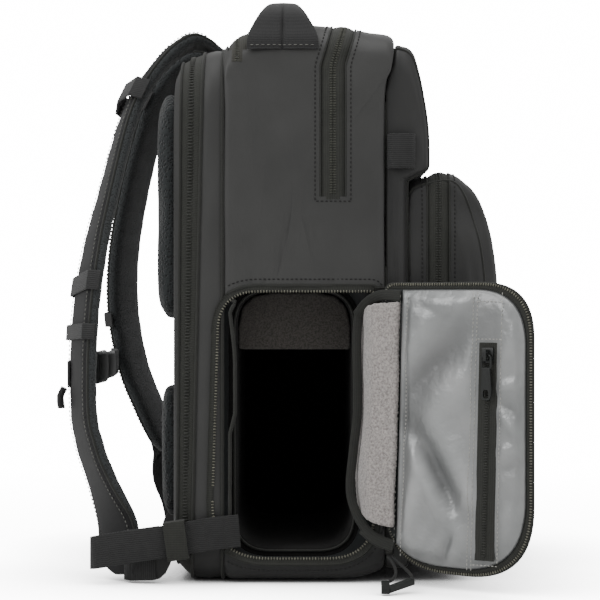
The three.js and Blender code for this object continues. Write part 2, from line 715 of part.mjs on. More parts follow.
const WAIST_BELT = [
  [-0.704, -1.02, 0.094],
  [-0.563, -1.031, 0.0919],
  [-0.366, -1.041, 0.0881],
  [-0.042, -1.05, 0.0786],
  [0.451, -1.059, 0.0667],
  [0.789, -1.059, 0.0571],
  [0.845, -1.043, 0.0557],
  [0.789, -1.028, 0.0571],
  [0.451, -1.028, 0.0667],
  [0.113, -1.025, 0.0748],
];
const KEEPER = {
  rows: [
    [0.07, -1.039, 0.075],
    [-0.155, -1.037, 0.0802],
  ],
  inside: 8.6,
  play: 1,
  wall: 1.3,
  tunnel: 6,
};

function waistBelt() {
  return uprightBand(WAIST_BELT, BELT_WIDTH);
}

// Sleeve of the belt, round both layers of its webbing.
function beltKeeper() {
  const { rows, inside, play, wall, tunnel } = KEEPER;
  const sleeve = bandThrough(rows, BELT_WIDTH, { thick: inside, stepsEach: 1 });
  const longer = sleeve.map((station, i) => ({
    ...station,
    centre: station.centre.clone().addScaledVector(station.tangent, i === 0 ? -tunnel : tunnel),
  }));
  return strapSolid(sleeve, { across: upright, grow: play + wall }).subtract(
    strapSolid(longer, { across: upright, grow: play }),
  );
}

// Wing at the back board's lower corner, with a rounded tip that hangs by the strap's end.
function anchorWing(sign) {
  const corners = [
    { x: X_BOARD - 26, y: 1.5, round: 12 },
    { x: X_BOARD - 6, y: 2, round: 14 },
    { x: X_BOARD + 2.4, y: 26, round: 8 },
    { x: X_BOARD + 2.4, y: 44, round: 3 },
    { x: X_BOARD - 12, y: 34, round: 10 },
    { x: X_BOARD - 27, y: 18, round: 10 },
  ];
  const middle = sign * (MAIN_HALF_WIDTH - WING_SETBACK);
  return sidePrism(corners, middle - WING_THICKNESS / 2, middle + WING_THICKNESS / 2);
}

// Half of the top handle, from its far end to its middle. side is a share of MAIN_HALF_WIDTH, rise the height
// above the bag's top as a share of HANDLE_RISE, and end how much of the end's width is left over the grip's.
const HANDLE_HALF = [
  { side: 1.007, rise: -1.22, end: 1, thick: 2 },
  { side: 0.99, rise: -0.767, end: 1, thick: 2 },
  { side: 0.95, rise: -0.3, end: 0.81, thick: 2.6 },
  { side: 0.881, rise: 0.333, end: 0.35, thick: 5 },
  { side: 0.755, rise: 0.722, end: 0, thick: 7 },
  { side: 0.49, rise: 0.944, end: 0, thick: 7 },
  { side: 0, rise: 1, end: 0, thick: 7 },
];

function topHandle() {
  const near = HANDLE_HALF.map((row) => ({ ...row, side: -row.side }));
  const all = [...near, ...HANDLE_HALF.slice(0, -1).reverse()];
  const middle = X_SEAM_BACK + TOP_ZIP_SETBACK + TOP_ZIP_WIDTH + HANDLE_END_WIDTH / 2;
  const curve = new THREE.CatmullRomCurve3(
    all.map(({ side, rise }) => v3(middle, side * MAIN_HALF_WIDTH, MAIN_HEIGHT + rise * HANDLE_RISE)),
  );
  const sections = all.map(({ end, thick }, i) => {
    const wide = mix(HANDLE_GRIP_WIDTH, HANDLE_END_WIDTH, end);
    return { outline: PADDED_SECTION.map((p) => v2((p.x * wide) / 2, (p.y * thick) / 2)), at: i };
  });
  return loft(sections, (a, b, i) => {
    const tangent = curve.getTangent(i / (all.length - 1));
    const up = v3(0, -tangent.z, tangent.y);
    return curve.getPoint(i / (all.length - 1)).add(v3(a, 0, 0)).addScaledVector(up, b);
  });
}

// Loop on the seam between the main and the front compartment. Columns are mm in front of the seam and mm out
// from the front compartment's side.
const LOOP_PLACES = [
  [1.2, 2.6],
  [5.2, 7],
  [13.2, 7.5],
  [19.2, 4.6],
  [21.7, 1.4],
];

function sideLoop(sign) {
  const middle = 0.767 * MAIN_HEIGHT;
  const curve = new THREE.CatmullRomCurve3(
    LOOP_PLACES.map(([ahead, out]) => v3(X_SEAM_FRONT + ahead, sign * (FRONT_HALF_WIDTH + out), middle)),
  );
  const steps = 2 * (LOOP_PLACES.length - 1);
  const stations = Array.from({ length: steps + 1 }, (_, i) => ({
    centre: curve.getPoint(i / steps),
    tangent: curve.getTangent(i / steps),
    wide: SIDE_LOOP_WIDTH,
    thick: WEBBING,
  }));
  return strapSolid(stations, { across: upright });
}

// Camera insert: a padded box whose mouth faces the opening.
const INSERT_BACK = X_SEAM_BACK + CLOTH + 1.2;
const INSERT_LOW = CLOTH + 3.2;
const CAVITY = {
  left: INSERT_BACK + INSERT_WALL,
  right: INSERT_BACK + INSERT_DEPTH - INSERT_WALL,
  bottom: CLOTH + INSERT_FLOOR,
  top: INSERT_TOP - INSERT_WALL,
};

function boxCorners(left, right, bottom, top, round) {
  return [
    { x: left, y: bottom, round },
    { x: right, y: bottom, round },
    { x: right, y: top, round },
    { x: left, y: top, round },
  ];
}

const cavityCorners = (grow) =>
  boxCorners(CAVITY.left - grow, CAVITY.right + grow, CAVITY.bottom - grow, CAVITY.top + grow, INSERT_ROUND);
const Y_FAR_INSERT = MAIN_HALF_WIDTH - CLOTH - 16;

function cameraInsert() {
  const outer = boxCorners(INSERT_BACK, INSERT_BACK + INSERT_DEPTH, INSERT_LOW, INSERT_TOP, 14);
  return sidePrism(outer, Y_INSERT + GAP, Y_FAR_INSERT).subtract(
    sidePrism(cavityCorners(0), Y_INSERT - 5, Y_FAR_INSERT - INSERT_WALL),
  );
}

// Funnel of lining from the opening's zip in to the insert's mouth.
function openingLining() {
  const skin = (grow, reach) => [
    { outline: outlineOf(openingCorners(OPENING_ZIP_WIDTH + GAP + grow)), at: Y_NEAR + 1 - reach },
    { outline: outlineOf(cavityCorners(-grow)), at: Y_INSERT + reach },
  ];
  const place = (x, z, y) => v3(x, y, z);
  return loft(skin(0, 0), place).subtract(loft(skin(CLOTH, 0.5), place)).subtract(hingeSide());
}

// The space along the hinge, where fleece takes the place of the zip and of the funnel.
function hingeSide() {
  return box(
    v3(CAVITY.right - 2, Y_NEAR - 9, OPENING_BOTTOM + 24),
    v3(X_SEAM_FRONT, Y_INSERT + 5, OPENING_TOP - OPENING_ZIP_WIDTH - 1),
  );
}

function openingZip() {
  const ring = sidePrism(openingCorners(GAP), Y_NEAR - 1.2, Y_NEAR + 1.6);
  return ring
    .subtract(sidePrism(openingCorners(OPENING_ZIP_WIDTH), Y_NEAR - 5, Y_NEAR + 5))
    .subtract(hingeSide());
}

// Soft divider that hangs from the insert's roof.
function dividerPad() {
  const near = Y_INSERT + DIVIDER_SETBACK;
  return sidePrism(cavityCorners(-GAP), near, near + DIVIDER_THICKNESS).intersect(
    box(v3(X_SEAM_BACK, Y_NEAR, CAVITY.top - DIVIDER_DROP), v3(X_SEAM_FRONT, MAIN_HALF_WIDTH, INSERT_TOP)),
  );
}

// Door, drawn flat with its hinge line at x = 0 and its inner face towards -y, then swung open as a group.
const DOOR_TOP = OPENING_TOP + DOOR_OVERLAP - 2;
const DOOR_LOW = OPENING_BOTTOM - DOOR_OVERLAP;

function doorCorners(inset, hem = { low: inset, high: inset }) {
  return [
    { x: 3 + hem.low, y: DOOR_LOW + 8 + inset, round: 50 },
    { x: DOOR_WIDTH - DOOR_ZIP_WIDTH - inset, y: DOOR_LOW + DOOR_ZIP_WIDTH + inset, round: 54 },
    { x: DOOR_WIDTH - DOOR_ZIP_WIDTH - inset, y: DOOR_TOP - DOOR_ZIP_WIDTH - inset, round: 40 },
    { x: 3 + hem.high, y: DOOR_TOP - DOOR_ZIP_WIDTH - inset, round: 8 },
  ];
}

const doorPanel = () => sidePrism(doorCorners(0), -DOOR_THICKNESS, 0);

function doorZip() {
  const hem = { low: GAP, high: GAP };
  const ring = sidePrism(doorCorners(-DOOR_ZIP_WIDTH, hem), -DOOR_THICKNESS + 1.5, -DOOR_THICKNESS + 4.5);
  return ring.subtract(sidePrism(doorCorners(-GAP), -2 * DOOR_THICKNESS, DOOR_THICKNESS));
}

const LINING_Y = -DOOR_THICKNESS - GAP;
const POCKET_SLOT = { x: 0.647 * DOOR_WIDTH, width: 16, bottom: DOOR_LOW + 14, top: DOOR_TOP - 43, lean: 4 };

function slotCorners(inset) {
  const { x, width, bottom, top, lean } = POCKET_SLOT;
  return [
    { x: x + inset, y: bottom + inset, round: 1 },
    { x: x + width - inset, y: bottom + inset, round: 1 },
    { x: x + width + lean - inset, y: top - inset, round: 1 },
    { x: x + lean + inset, y: top - inset, round: 1 },
  ];
}

// Pocket lining on the door's inner face, domed over its load, with a slot for the pocket's zip.
function doorLining() {
  const domes = [
    { inset: 2.5, y: LINING_Y },
    { inset: 4, y: LINING_Y - 0.6 * LINING_THICKNESS },
    { inset: 14, y: LINING_Y - LINING_THICKNESS },
  ];
  const sections = domes.map(({ inset, y }) => {
    const hem = { low: LINING_HEM.low + 0.3 * inset, high: LINING_HEM.high + 0.3 * inset };
    return { outline: outlineOf(doorCorners(inset, hem)), at: y };
  });
  return loft(sections, (x, z, y) => v3(x, y, z)).subtract(
    sidePrism(slotCorners(0), LINING_Y - 2 * LINING_THICKNESS, LINING_Y - 0.35 * LINING_THICKNESS),
  );
}

function pocketZip() {
  const high = LINING_Y - 0.8 * LINING_THICKNESS;
  const tape = sidePrism(slotCorners(GAP), high, LINING_Y - 0.35 * LINING_THICKNESS - GAP);
  const { x, width, bottom, top, lean } = POCKET_SLOT;
  const middle = x + width / 2;
  const half = TEETH_WIDTH / 2;
  const chainTop = SLIDER.bottom - GAP;
  const drift = (lean * (chainTop - bottom)) / (top - bottom);
  const teeth = sidePrism(
    [
      { x: middle - half, y: bottom + 3, round: 0 },
      { x: middle + half, y: bottom + 3, round: 0 },
      { x: middle + drift + half, y: chainTop, round: 0 },
      { x: middle + drift - half, y: chainTop, round: 0 },
    ],
    high - TEETH_PROUD,
    high + 0.3,
  );
  return tape.add(teeth);
}

// Slider of the door's inner pocket. Its bail is a small arch that the puller's ring passes through.
const SLIDER = {
  x: POCKET_SLOT.x + POCKET_SLOT.width / 2 + 0.9 * POCKET_SLOT.lean,
  bottom: POCKET_SLOT.top - 15,
  length: 11,
  width: 9,
  thick: 3,
  face: LINING_Y - 0.8 * LINING_THICKNESS,
  bailHigh: 5,
  bailWall: 1.4,
  bailWidth: 2.6,
};
const HINGE_PIN = {
  y: SLIDER.face - SLIDER.thick - SLIDER.bailHigh / 2 + SLIDER.bailWall / 2,
  z: SLIDER.bottom + SLIDER.length / 2,
};

function pocketSlider() {
  const { x, bottom, length, width, thick, face, bailHigh, bailWall, bailWidth } = SLIDER;
  const bodyFace = face - thick;
  const body = box(v3(x - width / 2, bodyFace, bottom), v3(x + width / 2, face - GAP, bottom + length));
  const arch = box(
    v3(x - bailWidth / 2, bodyFace - bailHigh, bottom + 1.5),
    v3(x + bailWidth / 2, bodyFace + 0.3, bottom + length - 1.5),
  );
  const eye = box(
    v3(x - bailWidth, bodyFace - bailHigh + bailWall, bottom + 1.5 + bailWall),
    v3(x + bailWidth, bodyFace - 0.1, bottom + length - 1.5 - bailWall),
  );
  return body.add(arch.subtract(eye));
}

const PULLER = { ring: 8.4, wire: 1.6, tabLength: 24, tabWidth: 9, tabThick: 1.8, hole: 3.4 };

// Puller: a square ring through the bail and a flat tab with a hole, hanging down.
function pocketPuller() {
  const { ring, wire, tabLength, tabWidth, tabThick, hole } = PULLER;
  const { x } = SLIDER;
  const { y, z } = HINGE_PIN;
  const half = ring / 2;
  const crossBar = box(v3(x - half, y - wire / 2, z - wire / 2), v3(x + half, y + wire / 2, z + wire / 2));
  const ringLow = z - SLIDER.length / 2 - 3.5;
  const bar = (side) =>
    box(
      v3(x + side * (half - wire / 2) - wire / 2, y - wire / 2, ringLow),
      v3(x + side * (half - wire / 2) + wire / 2, y + wire / 2, z + wire / 2),
    );
  const tab = box(
    v3(x - tabWidth / 2, y - tabThick / 2, ringLow - tabLength),
    v3(x + tabWidth / 2, y + tabThick / 2, ringLow + 0.2),
  );
  const holeLow = ringLow - tabLength + 3;
  const eye = box(v3(x - hole / 2, y - 5, holeLow), v3(x + hole / 2, y + 5, holeLow + 1.6 * hole));
  return crossBar.add(bar(-1)).add(bar(1)).add(tab.subtract(eye));
}

// Places on the swung door in the bag's own frame.
const HINGE = v3(X_SEAM_FRONT - OPENING_HINGE_MARGIN + 3, Y_NEAR - 1.4 - GAP, 0);
const OPEN = THREE.MathUtils.degToRad(DOOR_OPEN_DEG);
const onDoor = (x, y, z) => v3(x, y, z).applyAxisAngle(v3(0, 0, 1), -OPEN).add(HINGE);

// Fleece between the insert's front wall and the door's lining.
function hingeFleece() {
  const wallX = INSERT_BACK + INSERT_DEPTH;
  const rows = [
    { at: v3(wallX + 4, Y_INSERT + 2, 0), low: OPENING_BOTTOM + 38, high: OPENING_TOP - 30 },
    { at: v3(wallX + 5.5, Y_NEAR + 4, 0), low: OPENING_BOTTOM + 32, high: OPENING_TOP - 22 },
    { at: onDoor(-1, -DOOR_THICKNESS - 3.2, 0), low: OPENING_BOTTOM + 28, high: OPENING_TOP - 19 },
    { at: onDoor(15.2, -DOOR_THICKNESS - 2.4, 0), low: OPENING_BOTTOM + 24, high: OPENING_TOP - 17 },
  ];
  const middles = rows.map(({ at, low, high }) => at.clone().setZ((low + high) / 2));
  const curve = new THREE.CatmullRomCurve3(middles);
  const steps = 2 * (rows.length - 1);
  const stations = Array.from({ length: steps + 1 }, (_, i) => {
    const k = Math.min(Math.floor(i / 2), rows.length - 2);
    const span = (row) => row.high - row.low;
    return {
      centre: curve.getPoint(i / steps),
      tangent: curve.getTangent(i / steps).setZ(0).normalize(),
      wide: mix(span(rows[k]), span(rows[k + 1]), i / 2 - k),
      thick: FLEECE_THICKNESS,
    };
  });
  return strapSolid(stations, { across: upright });
}

function doorTopSlider() {
  const x = X_SEAM_FRONT - OPENING_HINGE_MARGIN;
  return box(v3(x - 5, Y_NEAR - 4.5, OPENING_TOP - 7), v3(x + 5, Y_NEAR - 1.2 - GAP, OPENING_TOP - 1));
}

// Lower slider, near the hinge on the door's own zip, and the place below it where the cord leaves.
const SLIDER_LOW = { x: 5.5, wide: 7, z: DOOR_LOW + 13, tall: 9, thick: 2.8 };
const DOOR_ZIP_FACE = -DOOR_THICKNESS + 1.5;

function doorLowSlider() {
  const { x, wide, z, tall, thick } = SLIDER_LOW;
  return box(v3(x, DOOR_ZIP_FACE - GAP - thick, z), v3(x + wide, DOOR_ZIP_FACE - GAP, z + tall));
}

const CORD_START = onDoor(
  SLIDER_LOW.x + SLIDER_LOW.wide / 2,
  DOOR_ZIP_FACE - GAP - SLIDER_LOW.thick / 2,
  SLIDER_LOW.z,
);

// Two branches of the pull cord, from the lower slider to the grip on the floor. Columns are mm along and
// across the bag from the cord's start, and the height as a share of the start's.
const CORD_LEFT = [
  [-1.2, -0.5, 0.926],
  [-0.3, -3, 0.9],
  [0.7, -5.8, 0.865],
  [1.5, -8.7, 0.822],
  [2.2, -11.7, 0.774],
  [2.8, -14.8, 0.726],
  [3.2, -17.9, 0.678],
  [3.5, -21.1, 0.635],
  [3.5, -24.3, 0.591],
  [3.3, -27.5, 0.557],
  [2.9, -30.7, 0.526],
  [2.1, -33.9, 0.496],
  [1.1, -37.1, 0.461],
  [-0.2, -40.3, 0.43],
  [-1.4, -42.9, 0.404],
];
const CORD_RIGHT = [
  [1.8, -1.9, 0.926],
  [3.3, -3.7, 0.891],
  [4.7, -5.5, 0.848],
  [6.1, -7.4, 0.8],
  [7.5, -9.4, 0.752],
  [8.8, -11.5, 0.709],
  [10, -13.7, 0.665],
  [11.1, -16, 0.626],
  [12.2, -18.4, 0.591],
  [13.1, -20.8, 0.557],
  [13.9, -23.3, 0.526],
  [14.5, -25.8, 0.5],
  [14.9, -28.3, 0.465],
  [15, -30.2, 0.417],
  [15, -31.6, 0.383],
];
const GRIP = {
  from: [-3, -47.7, 0.174],
  to: [15, -33.5, 0.348],
  wide: 5,
  thick: 5.5,
  block: { low: [-8, -49.5, 0.043], high: [-2, -44.5, 0.435] },
};

const byCord = ([along, across, up]) => v3(CORD_START.x + along, CORD_START.y + across, up * CORD_START.z);

function cordTube(points) {
  const path = new THREE.CatmullRomCurve3(points.map(byCord));
  const circle = new THREE.Shape(
    Array.from({ length: CORD_SIDES }, (_, i) => {
      const angle = (2 * Math.PI * i) / CORD_SIDES;
      return v2(Math.cos(angle), Math.sin(angle)).multiplyScalar(CORD_DIAMETER / 2);
    }),
  );
  const steps = Math.round(path.getLength() / CORD_STEP);
  return solidOf(new THREE.ExtrudeGeometry(circle, { steps, extrudePath: path }));
}

// Moulded grip that lies on the floor: a bar with a block at its left end.
function pullGrip() {
  const { from, to, wide, thick, block } = GRIP;
  const [start, end] = [byCord(from), byCord(to)];
  const tangent = end.clone().sub(start).normalize();
  const stations = [start, end].map((centre) => ({ centre, tangent, wide: thick, thick: wide }));
  const bar = strapSolid(stations, { across: upright, section: PADDED_SECTION });
  return bar.add(box(byCord(block.low), byCord(block.high)));
}

const bag = new THREE.Group();
const door = new THREE.Group();
door.position.copy(HINGE);
door.rotation.z = -OPEN;
bag.add(door);

bag.add(meshOf("main_shell", mainShell(), COATED));
bag.add(meshOf("main_zip", zipBand(MAIN, MAIN_SLOT), ZIP));
bag.add(meshOf("top_rear_zip", zipBand(MAIN, TOP_SLOT), ZIP));
bag.add(meshOf("front_shell", frontShell(), COATED));
bag.add(meshOf("pocket_shell", pocketShell(), COATED));
bag.add(meshOf("pocket_zip", zipBand(POCKET, FRONT_POCKET_SLOT), ZIP));
bag.add(meshOf("rear_gusset", rearGusset(), COATED));
bag.add(meshOf("rear_zip", rearZip(), ZIP));
bag.add(meshOf("back_board", backBoard(), COATED));
bag.add(meshOf("back_pad_upper_near", backPad(UPPER_PAD, -PAD_HALF_WIDTH, -PAD_CHANNEL / 2), MESH));
bag.add(meshOf("back_pad_upper_far", backPad(UPPER_PAD, PAD_CHANNEL / 2, PAD_HALF_WIDTH), MESH));
bag.add(meshOf("back_pad_lower", backPad(LOWER_PAD, -PAD_HALF_WIDTH, PAD_HALF_WIDTH), MESH));
bag.add(meshOf("top_handle", topHandle(), WEB));
bag.add(meshOf("side_loop_near", sideLoop(-1), WEB));
bag.add(meshOf("side_loop_far", sideLoop(1), WEB));

bag.add(meshOf("camera_insert", cameraInsert(), DARK_FLEECE));
bag.add(meshOf("divider_pad", dividerPad(), DARK_FLEECE));
bag.add(meshOf("opening_lining", openingLining(), DARK_FLEECE));
bag.add(meshOf("opening_zip", openingZip(), ZIP));

door.add(meshOf("door_panel", doorPanel(), COATED));
door.add(meshOf("door_zip", doorZip(), ZIP));
door.add(meshOf("door_lining", doorLining(), LINING));
door.add(meshOf("pocket_door_zip", pocketZip(), ZIP));
door.add(meshOf("pocket_slider", pocketSlider(), PLASTIC));
door.add(meshOf("pocket_puller", pocketPuller(), PLASTIC));
bag.add(meshOf("hinge_fleece", hingeFleece(), FLEECE));
bag.add(meshOf("door_top_slider", doorTopSlider(), METAL));
door.add(meshOf("door_low_slider", doorLowSlider(), METAL));
bag.add(meshOf("pull_cord_left", cordTube(CORD_LEFT), PLASTIC));
bag.add(meshOf("pull_cord_right", cordTube(CORD_RIGHT), PLASTIC));
bag.add(meshOf("pull_grip", pullGrip(), PLASTIC));

bag.add(meshOf("strap_near", paddedStrap(NEAR_STRAP), COATED));
bag.add(meshOf("strap_far", paddedStrap(FAR_STRAP), COATED));
bag.add(meshOf("strap_loop_near", strapBand(NEAR_STRAP, 0.293, STRAP_LOOP), WEB));
bag.add(meshOf("strap_patch_near", strapBand(NEAR_STRAP, 0.503, STRAP_PATCH), WEB));
bag.add(meshOf("strap_band_near", strapBand(NEAR_STRAP, 0.541, STRAP_BAND), WEB));
bag.add(meshOf("strap_loop_far", strapBand(FAR_STRAP, 0.3, STRAP_LOOP), WEB));
bag.add(meshOf("strap_band_far", strapBand(FAR_STRAP, 0.64, STRAP_BAND), WEB));
bag.add(meshOf("strap_webbing_near", uprightBand(NEAR_WEBBING, STRAP_WEBBING_WIDTH), WEB));
bag.add(meshOf("strap_webbing_far", farWebbing(), WEB));
bag.add(meshOf("sternum_webbing_near", uprightBand(STERNUM_NEAR, STERNUM_WIDTH), WEB));
bag.add(meshOf("sternum_webbing_far", uprightBand(STERNUM_FAR, STERNUM_WIDTH), WEB));
bag.add(meshOf("sternum_tail", sternumTail(), WEB));
bag.add(meshOf("buckle_socket", buckleHalf(SOCKET), PLASTIC));
bag.add(meshOf("buckle_plug", buckleHalf(PLUG), PLASTIC));
bag.add(meshOf("waist_belt", waistBelt(), WEB));
bag.add(meshOf("belt_keeper", beltKeeper(), ZIP));
bag.add(meshOf("anchor_wing_near", anchorWing(-1), COATED));
bag.add(meshOf("anchor_wing_far", anchorWing(1), COATED));

export default bag;
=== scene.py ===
# %% [markdown]
# A camera backpack stands on its base, and the padded door of its side compartment is open. The solids give
# every piece its size and place. This lesson dresses them in cloth, foam, webbing, zips and thread, piece by
# piece, so that the bag looks sewn and not cast.

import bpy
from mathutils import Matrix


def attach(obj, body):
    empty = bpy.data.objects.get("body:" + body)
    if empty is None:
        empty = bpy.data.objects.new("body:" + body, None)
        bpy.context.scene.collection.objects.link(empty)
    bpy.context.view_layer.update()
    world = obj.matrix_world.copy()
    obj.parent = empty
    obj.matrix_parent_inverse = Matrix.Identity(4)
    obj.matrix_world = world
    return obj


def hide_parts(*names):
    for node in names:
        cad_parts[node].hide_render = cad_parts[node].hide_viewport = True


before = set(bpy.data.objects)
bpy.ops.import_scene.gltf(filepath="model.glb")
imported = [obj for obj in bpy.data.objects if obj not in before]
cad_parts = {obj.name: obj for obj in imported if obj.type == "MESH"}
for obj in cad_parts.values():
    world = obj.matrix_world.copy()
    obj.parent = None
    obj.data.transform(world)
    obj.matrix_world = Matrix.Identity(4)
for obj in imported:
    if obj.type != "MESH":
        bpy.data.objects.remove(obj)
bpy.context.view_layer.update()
print("solids loaded:", len(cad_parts))

# %% Libraries and units
import math

import bmesh
import bpy
import numpy as np
from mathutils import Vector
from mathutils.bvhtree import BVHTree

MM = 0.001
BODY = "bag"
scene = bpy.context.scene

# %% [markdown]
# The photograph looks level at the bag's side, from a little under the middle of its height. A long lens
# keeps the sides nearly parallel. The lens length follows from the distance and from how wide the frame is
# at the bag's near side: the whole frame spans 447 mm there, seen from 1500 mm.

# %% Camera
CAMERA_PLACE = (-0.003, -1.643, 0.211)
SENSOR = 36
FRAME_WIDTH = 447
FRAME_DISTANCE = 1500

camera_data = bpy.data.cameras.new("camera")
camera_data.sensor_width = SENSOR
camera_data.lens = SENSOR * FRAME_DISTANCE / FRAME_WIDTH
camera = bpy.data.objects.new("camera", camera_data)
camera.location = CAMERA_PLACE
camera.rotation_euler = (math.pi / 2, 0, 0)
scene.collection.objects.link(camera)
scene.camera = camera
print("lens in mm:", round(camera_data.lens, 1))

# %% [markdown]
# A material is easier to read when one small function adds each node. Colours are written as sRGB hex
# values, the way a picture editor shows them, and one function turns them to the linear values that the
# renderer needs.

# %% Helpers for materials
def linear(hex_colour):
    values = [int(hex_colour[i : i + 2], 16) / 255 for i in (1, 3, 5)]
    return [v / 12.92 if v <= 0.04045 else ((v + 0.055) / 1.055) ** 2.4 for v in values] + [1.0]


def feed(tree, node, inputs):
    """Each socket is linked to another node's socket or set to a value."""
    for socket, value in inputs.items():
        if isinstance(value, bpy.types.NodeSocket):
            tree.links.new(value, node.inputs[socket])
        else:
            node.inputs[socket].default_value = value


def add(tree, kind, inputs=None, **settings):
    node = tree.nodes.new(kind)
    for name, value in settings.items():
        setattr(node, name, value)
    feed(tree, node, inputs or {})
    return node


def maths(tree, operation, *values):
    return add(tree, "ShaderNodeMath", dict(enumerate(values)), operation=operation).outputs[0]


def scaled(tree, vector, factor):
    return add(tree, "ShaderNodeVectorMath", {0: vector, "Scale": factor}, operation="SCALE").outputs[0]


def split(tree, vector):
    return add(tree, "ShaderNodeSeparateXYZ", {0: vector}).outputs


def blank(name):
    """A material with its Principled shader, and coordinates in millimetres from the object and from UVs."""
    made = bpy.data.materials.new(name)
    made.use_nodes = True
    tree = made.node_tree
    place = add(tree, "ShaderNodeTexCoord").outputs
    return made, tree, tree.nodes["Principled BSDF"], scaled(tree, place["Object"], 1 / MM), place["UV"]


def two_tones(tree, shader, factor, dark, light, low=0.3, high=0.7):
    """The base colour: dark up to a low factor, light from a high one and blended between."""
    ramp = add(tree, "ShaderNodeValToRGB", {"Fac": factor})
    ramp.color_ramp.elements[0].position = low
    ramp.color_ramp.elements[0].color = linear(dark)
    ramp.color_ramp.elements[1].position = high
    ramp.color_ramp.elements[1].color = linear(light)
    feed(tree, shader, {"Base Color": ramp.outputs["Color"]})
    return ramp.outputs["Color"]


def bump(tree, height, depth_mm, below=None):
    inputs = {"Height": height, "Distance": depth_mm * MM, "Strength": 1.0}
    if below is not None:
        inputs["Normal"] = below
    return add(tree, "ShaderNodeBump", inputs).outputs["Normal"]


def noise(tree, vector, size_mm, detail=2.0, rough=0.5):
    inputs = {"Vector": vector, "Scale": 1 / size_mm, "Detail": detail, "Roughness": rough}
    return add(tree, "ShaderNodeTexNoise", inputs).outputs["Fac"]


def wave(tree, value, size_mm):
    """A ridge every size_mm along a coordinate in millimetres, from 0 in the valley to 1 on the crest."""
    sine = maths(tree, "SINE", maths(tree, "MULTIPLY", value, 2 * math.pi / size_mm))
    return maths(tree, "MULTIPLY_ADD", sine, 0.5, 0.5)


def blend_of(tree, a, b, share):
    """a and b mixed as numbers, with that share of b."""
    return add(tree, "ShaderNodeMix", {0: share, 2: a, 3: b}, data_type="FLOAT").outputs[0]


# %% [markdown]
# The bag's main cloth is nylon with a thick polyurethane coating on its face. The coating hides the weave
# and leaves a fine pebbled grain, with a broad soft shine. The grain is drawn at 0.5 mm and the faint
# unevenness of the coating at 60 mm, so both show in the render. The lowest 3 cm of the panels and of the
# gusset are darker as painted shade, where the bag's lower part curves under and lies in shade.

# %% Coated nylon
GRAIN, PATCH = 0.5, 60
LOW_SHADE_FROM, LOW_SHADE_TO = 22, 32


def coated_nylon(name, dark, light, roughness=0.5, low_shade=1.0):
    made, tree, shader, solid, _ = blank(name)
    tone = two_tones(tree, shader, noise(tree, solid, PATCH, 3), dark, light)
    # Painted shade: the colour is scaled down towards the foot, for the shade on the bag's lower part where it
    # curves under.
    rise = {"Value": split(tree, solid)["Z"], "From Min": LOW_SHADE_FROM, "From Max": LOW_SHADE_TO, "To Min": low_shade}
    level = add(tree, "ShaderNodeMapRange", rise).outputs[0]
    soft = bump(tree, noise(tree, solid, 9, 2), 0.06)
    feed(tree, shader, {
        "Base Color": scaled(tree, tone, level),
        "Normal": bump(tree, noise(tree, solid, GRAIN, 2, 0.6), 0.035, soft),
        "Roughness": roughness, "Specular IOR Level": 0.42, "Sheen Weight": 0.06, "Sheen Roughness": 0.4,
    })
    return made


# The panel and the gusset carry that painted shade at their foot; the other coated nylons have none.
PANEL_CLOTH = coated_nylon("coated_nylon_panel", "#3a3a39", "#414140", low_shade=0.3)
GUSSET_CLOTH = coated_nylon("coated_nylon_gusset", "#363635", "#3d3d3c", 0.55, low_shade=0.4)
STRAP_CLOTH = coated_nylon("coated_nylon_strap", "#101011", "#151516", 0.62)
FRONT_CLOTH = coated_nylon("coated_nylon_front", "#2c2c2c", "#333332")
print("coated nylons:", 4)

# %% [markdown]
# Webbing is woven narrow on a needle loom, in ridges about a millimetre apart, and they are what the eye
# sees. A band's UV map runs in millimetres, along in U and across in V, so the ridges bend with the band.
# They run along the bands of the straps and across the handle.

# %% Webbing and zip tape
def woven(name, dark, light, ridges, picks, share, patch_mm, depth, roughness, sheen):
    """A narrow weave of two crossing waves, each given as (axis of the UV map, size)."""
    made, tree, shader, solid, uv = blank(name)
    parts = split(tree, uv)
    first, second = (wave(tree, parts[axis], size) for axis, size in (ridges, picks))
    height = blend_of(tree, first, second, share)
    two_tones(tree, shader, blend_of(tree, height, noise(tree, solid, patch_mm), 0.4), dark, light)
    feed(tree, shader, {"Normal": bump(tree, height, depth), "Roughness": roughness, "Sheen Weight": sheen})
    return made


def webbing(name, dark, light, ridges=("Y", 1.5), picks=("X", 0.9), depth=0.25):
    return woven(name, dark, light, ridges, picks, 0.3, 7, depth, 0.78, 0.15)


def zip_tape(name, dark, light):
    return woven(name, dark, light, ("Y", 1.7), ("X", 1.1), 0.45, 5, 0.16, 0.8, 0.1)


BELT_WEB = webbing("polyester_webbing", "#191919", "#2c2c2c")
HANDLE_WEB = webbing("polyester_webbing_handle", "#0f0f10", "#1b1b1b", ("X", 1.4), ("Y", 0.9), 0.2)
TAPE = zip_tape("woven_zip_tape", "#22231f", "#2f302b")
TOP_TAPE = zip_tape("woven_zip_tape_top", "#2b2a26", "#3a3933")
BINDING = zip_tape("woven_binding", "#20211e", "#2b2c28")
print("woven bands:", 5)

# %% [markdown]
# Pads and strap linings are covered in spacer mesh, a knit with an open face of small holes over a springy
# core. Each hole is about 2 mm wide, so Voronoi cells of that size give dark pits with paler knit between.

# %% Spacer mesh
def spacer_mesh(name, pit, yarn, hole_mm=2.2, depth=0.7):
    made, tree, shader, solid, _ = blank(name)
    cells = add(tree, "ShaderNodeTexVoronoi", {"Vector": solid, "Scale": 1 / hole_mm}, feature="F1")
    knit = {"Value": cells.outputs["Distance"], "From Min": 0.15, "From Max": 0.55}
    rise = add(tree, "ShaderNodeMapRange", knit).outputs[0]
    two_tones(tree, shader, rise, pit, yarn, 0.0, 1.0)
    soft = bump(tree, noise(tree, solid, 14, 2), 0.6)
    feed(tree, shader, {
        "Normal": bump(tree, rise, depth, soft),
        "Roughness": 0.92, "Sheen Weight": 0.25, "Sheen Roughness": 0.6,
    })
    return made


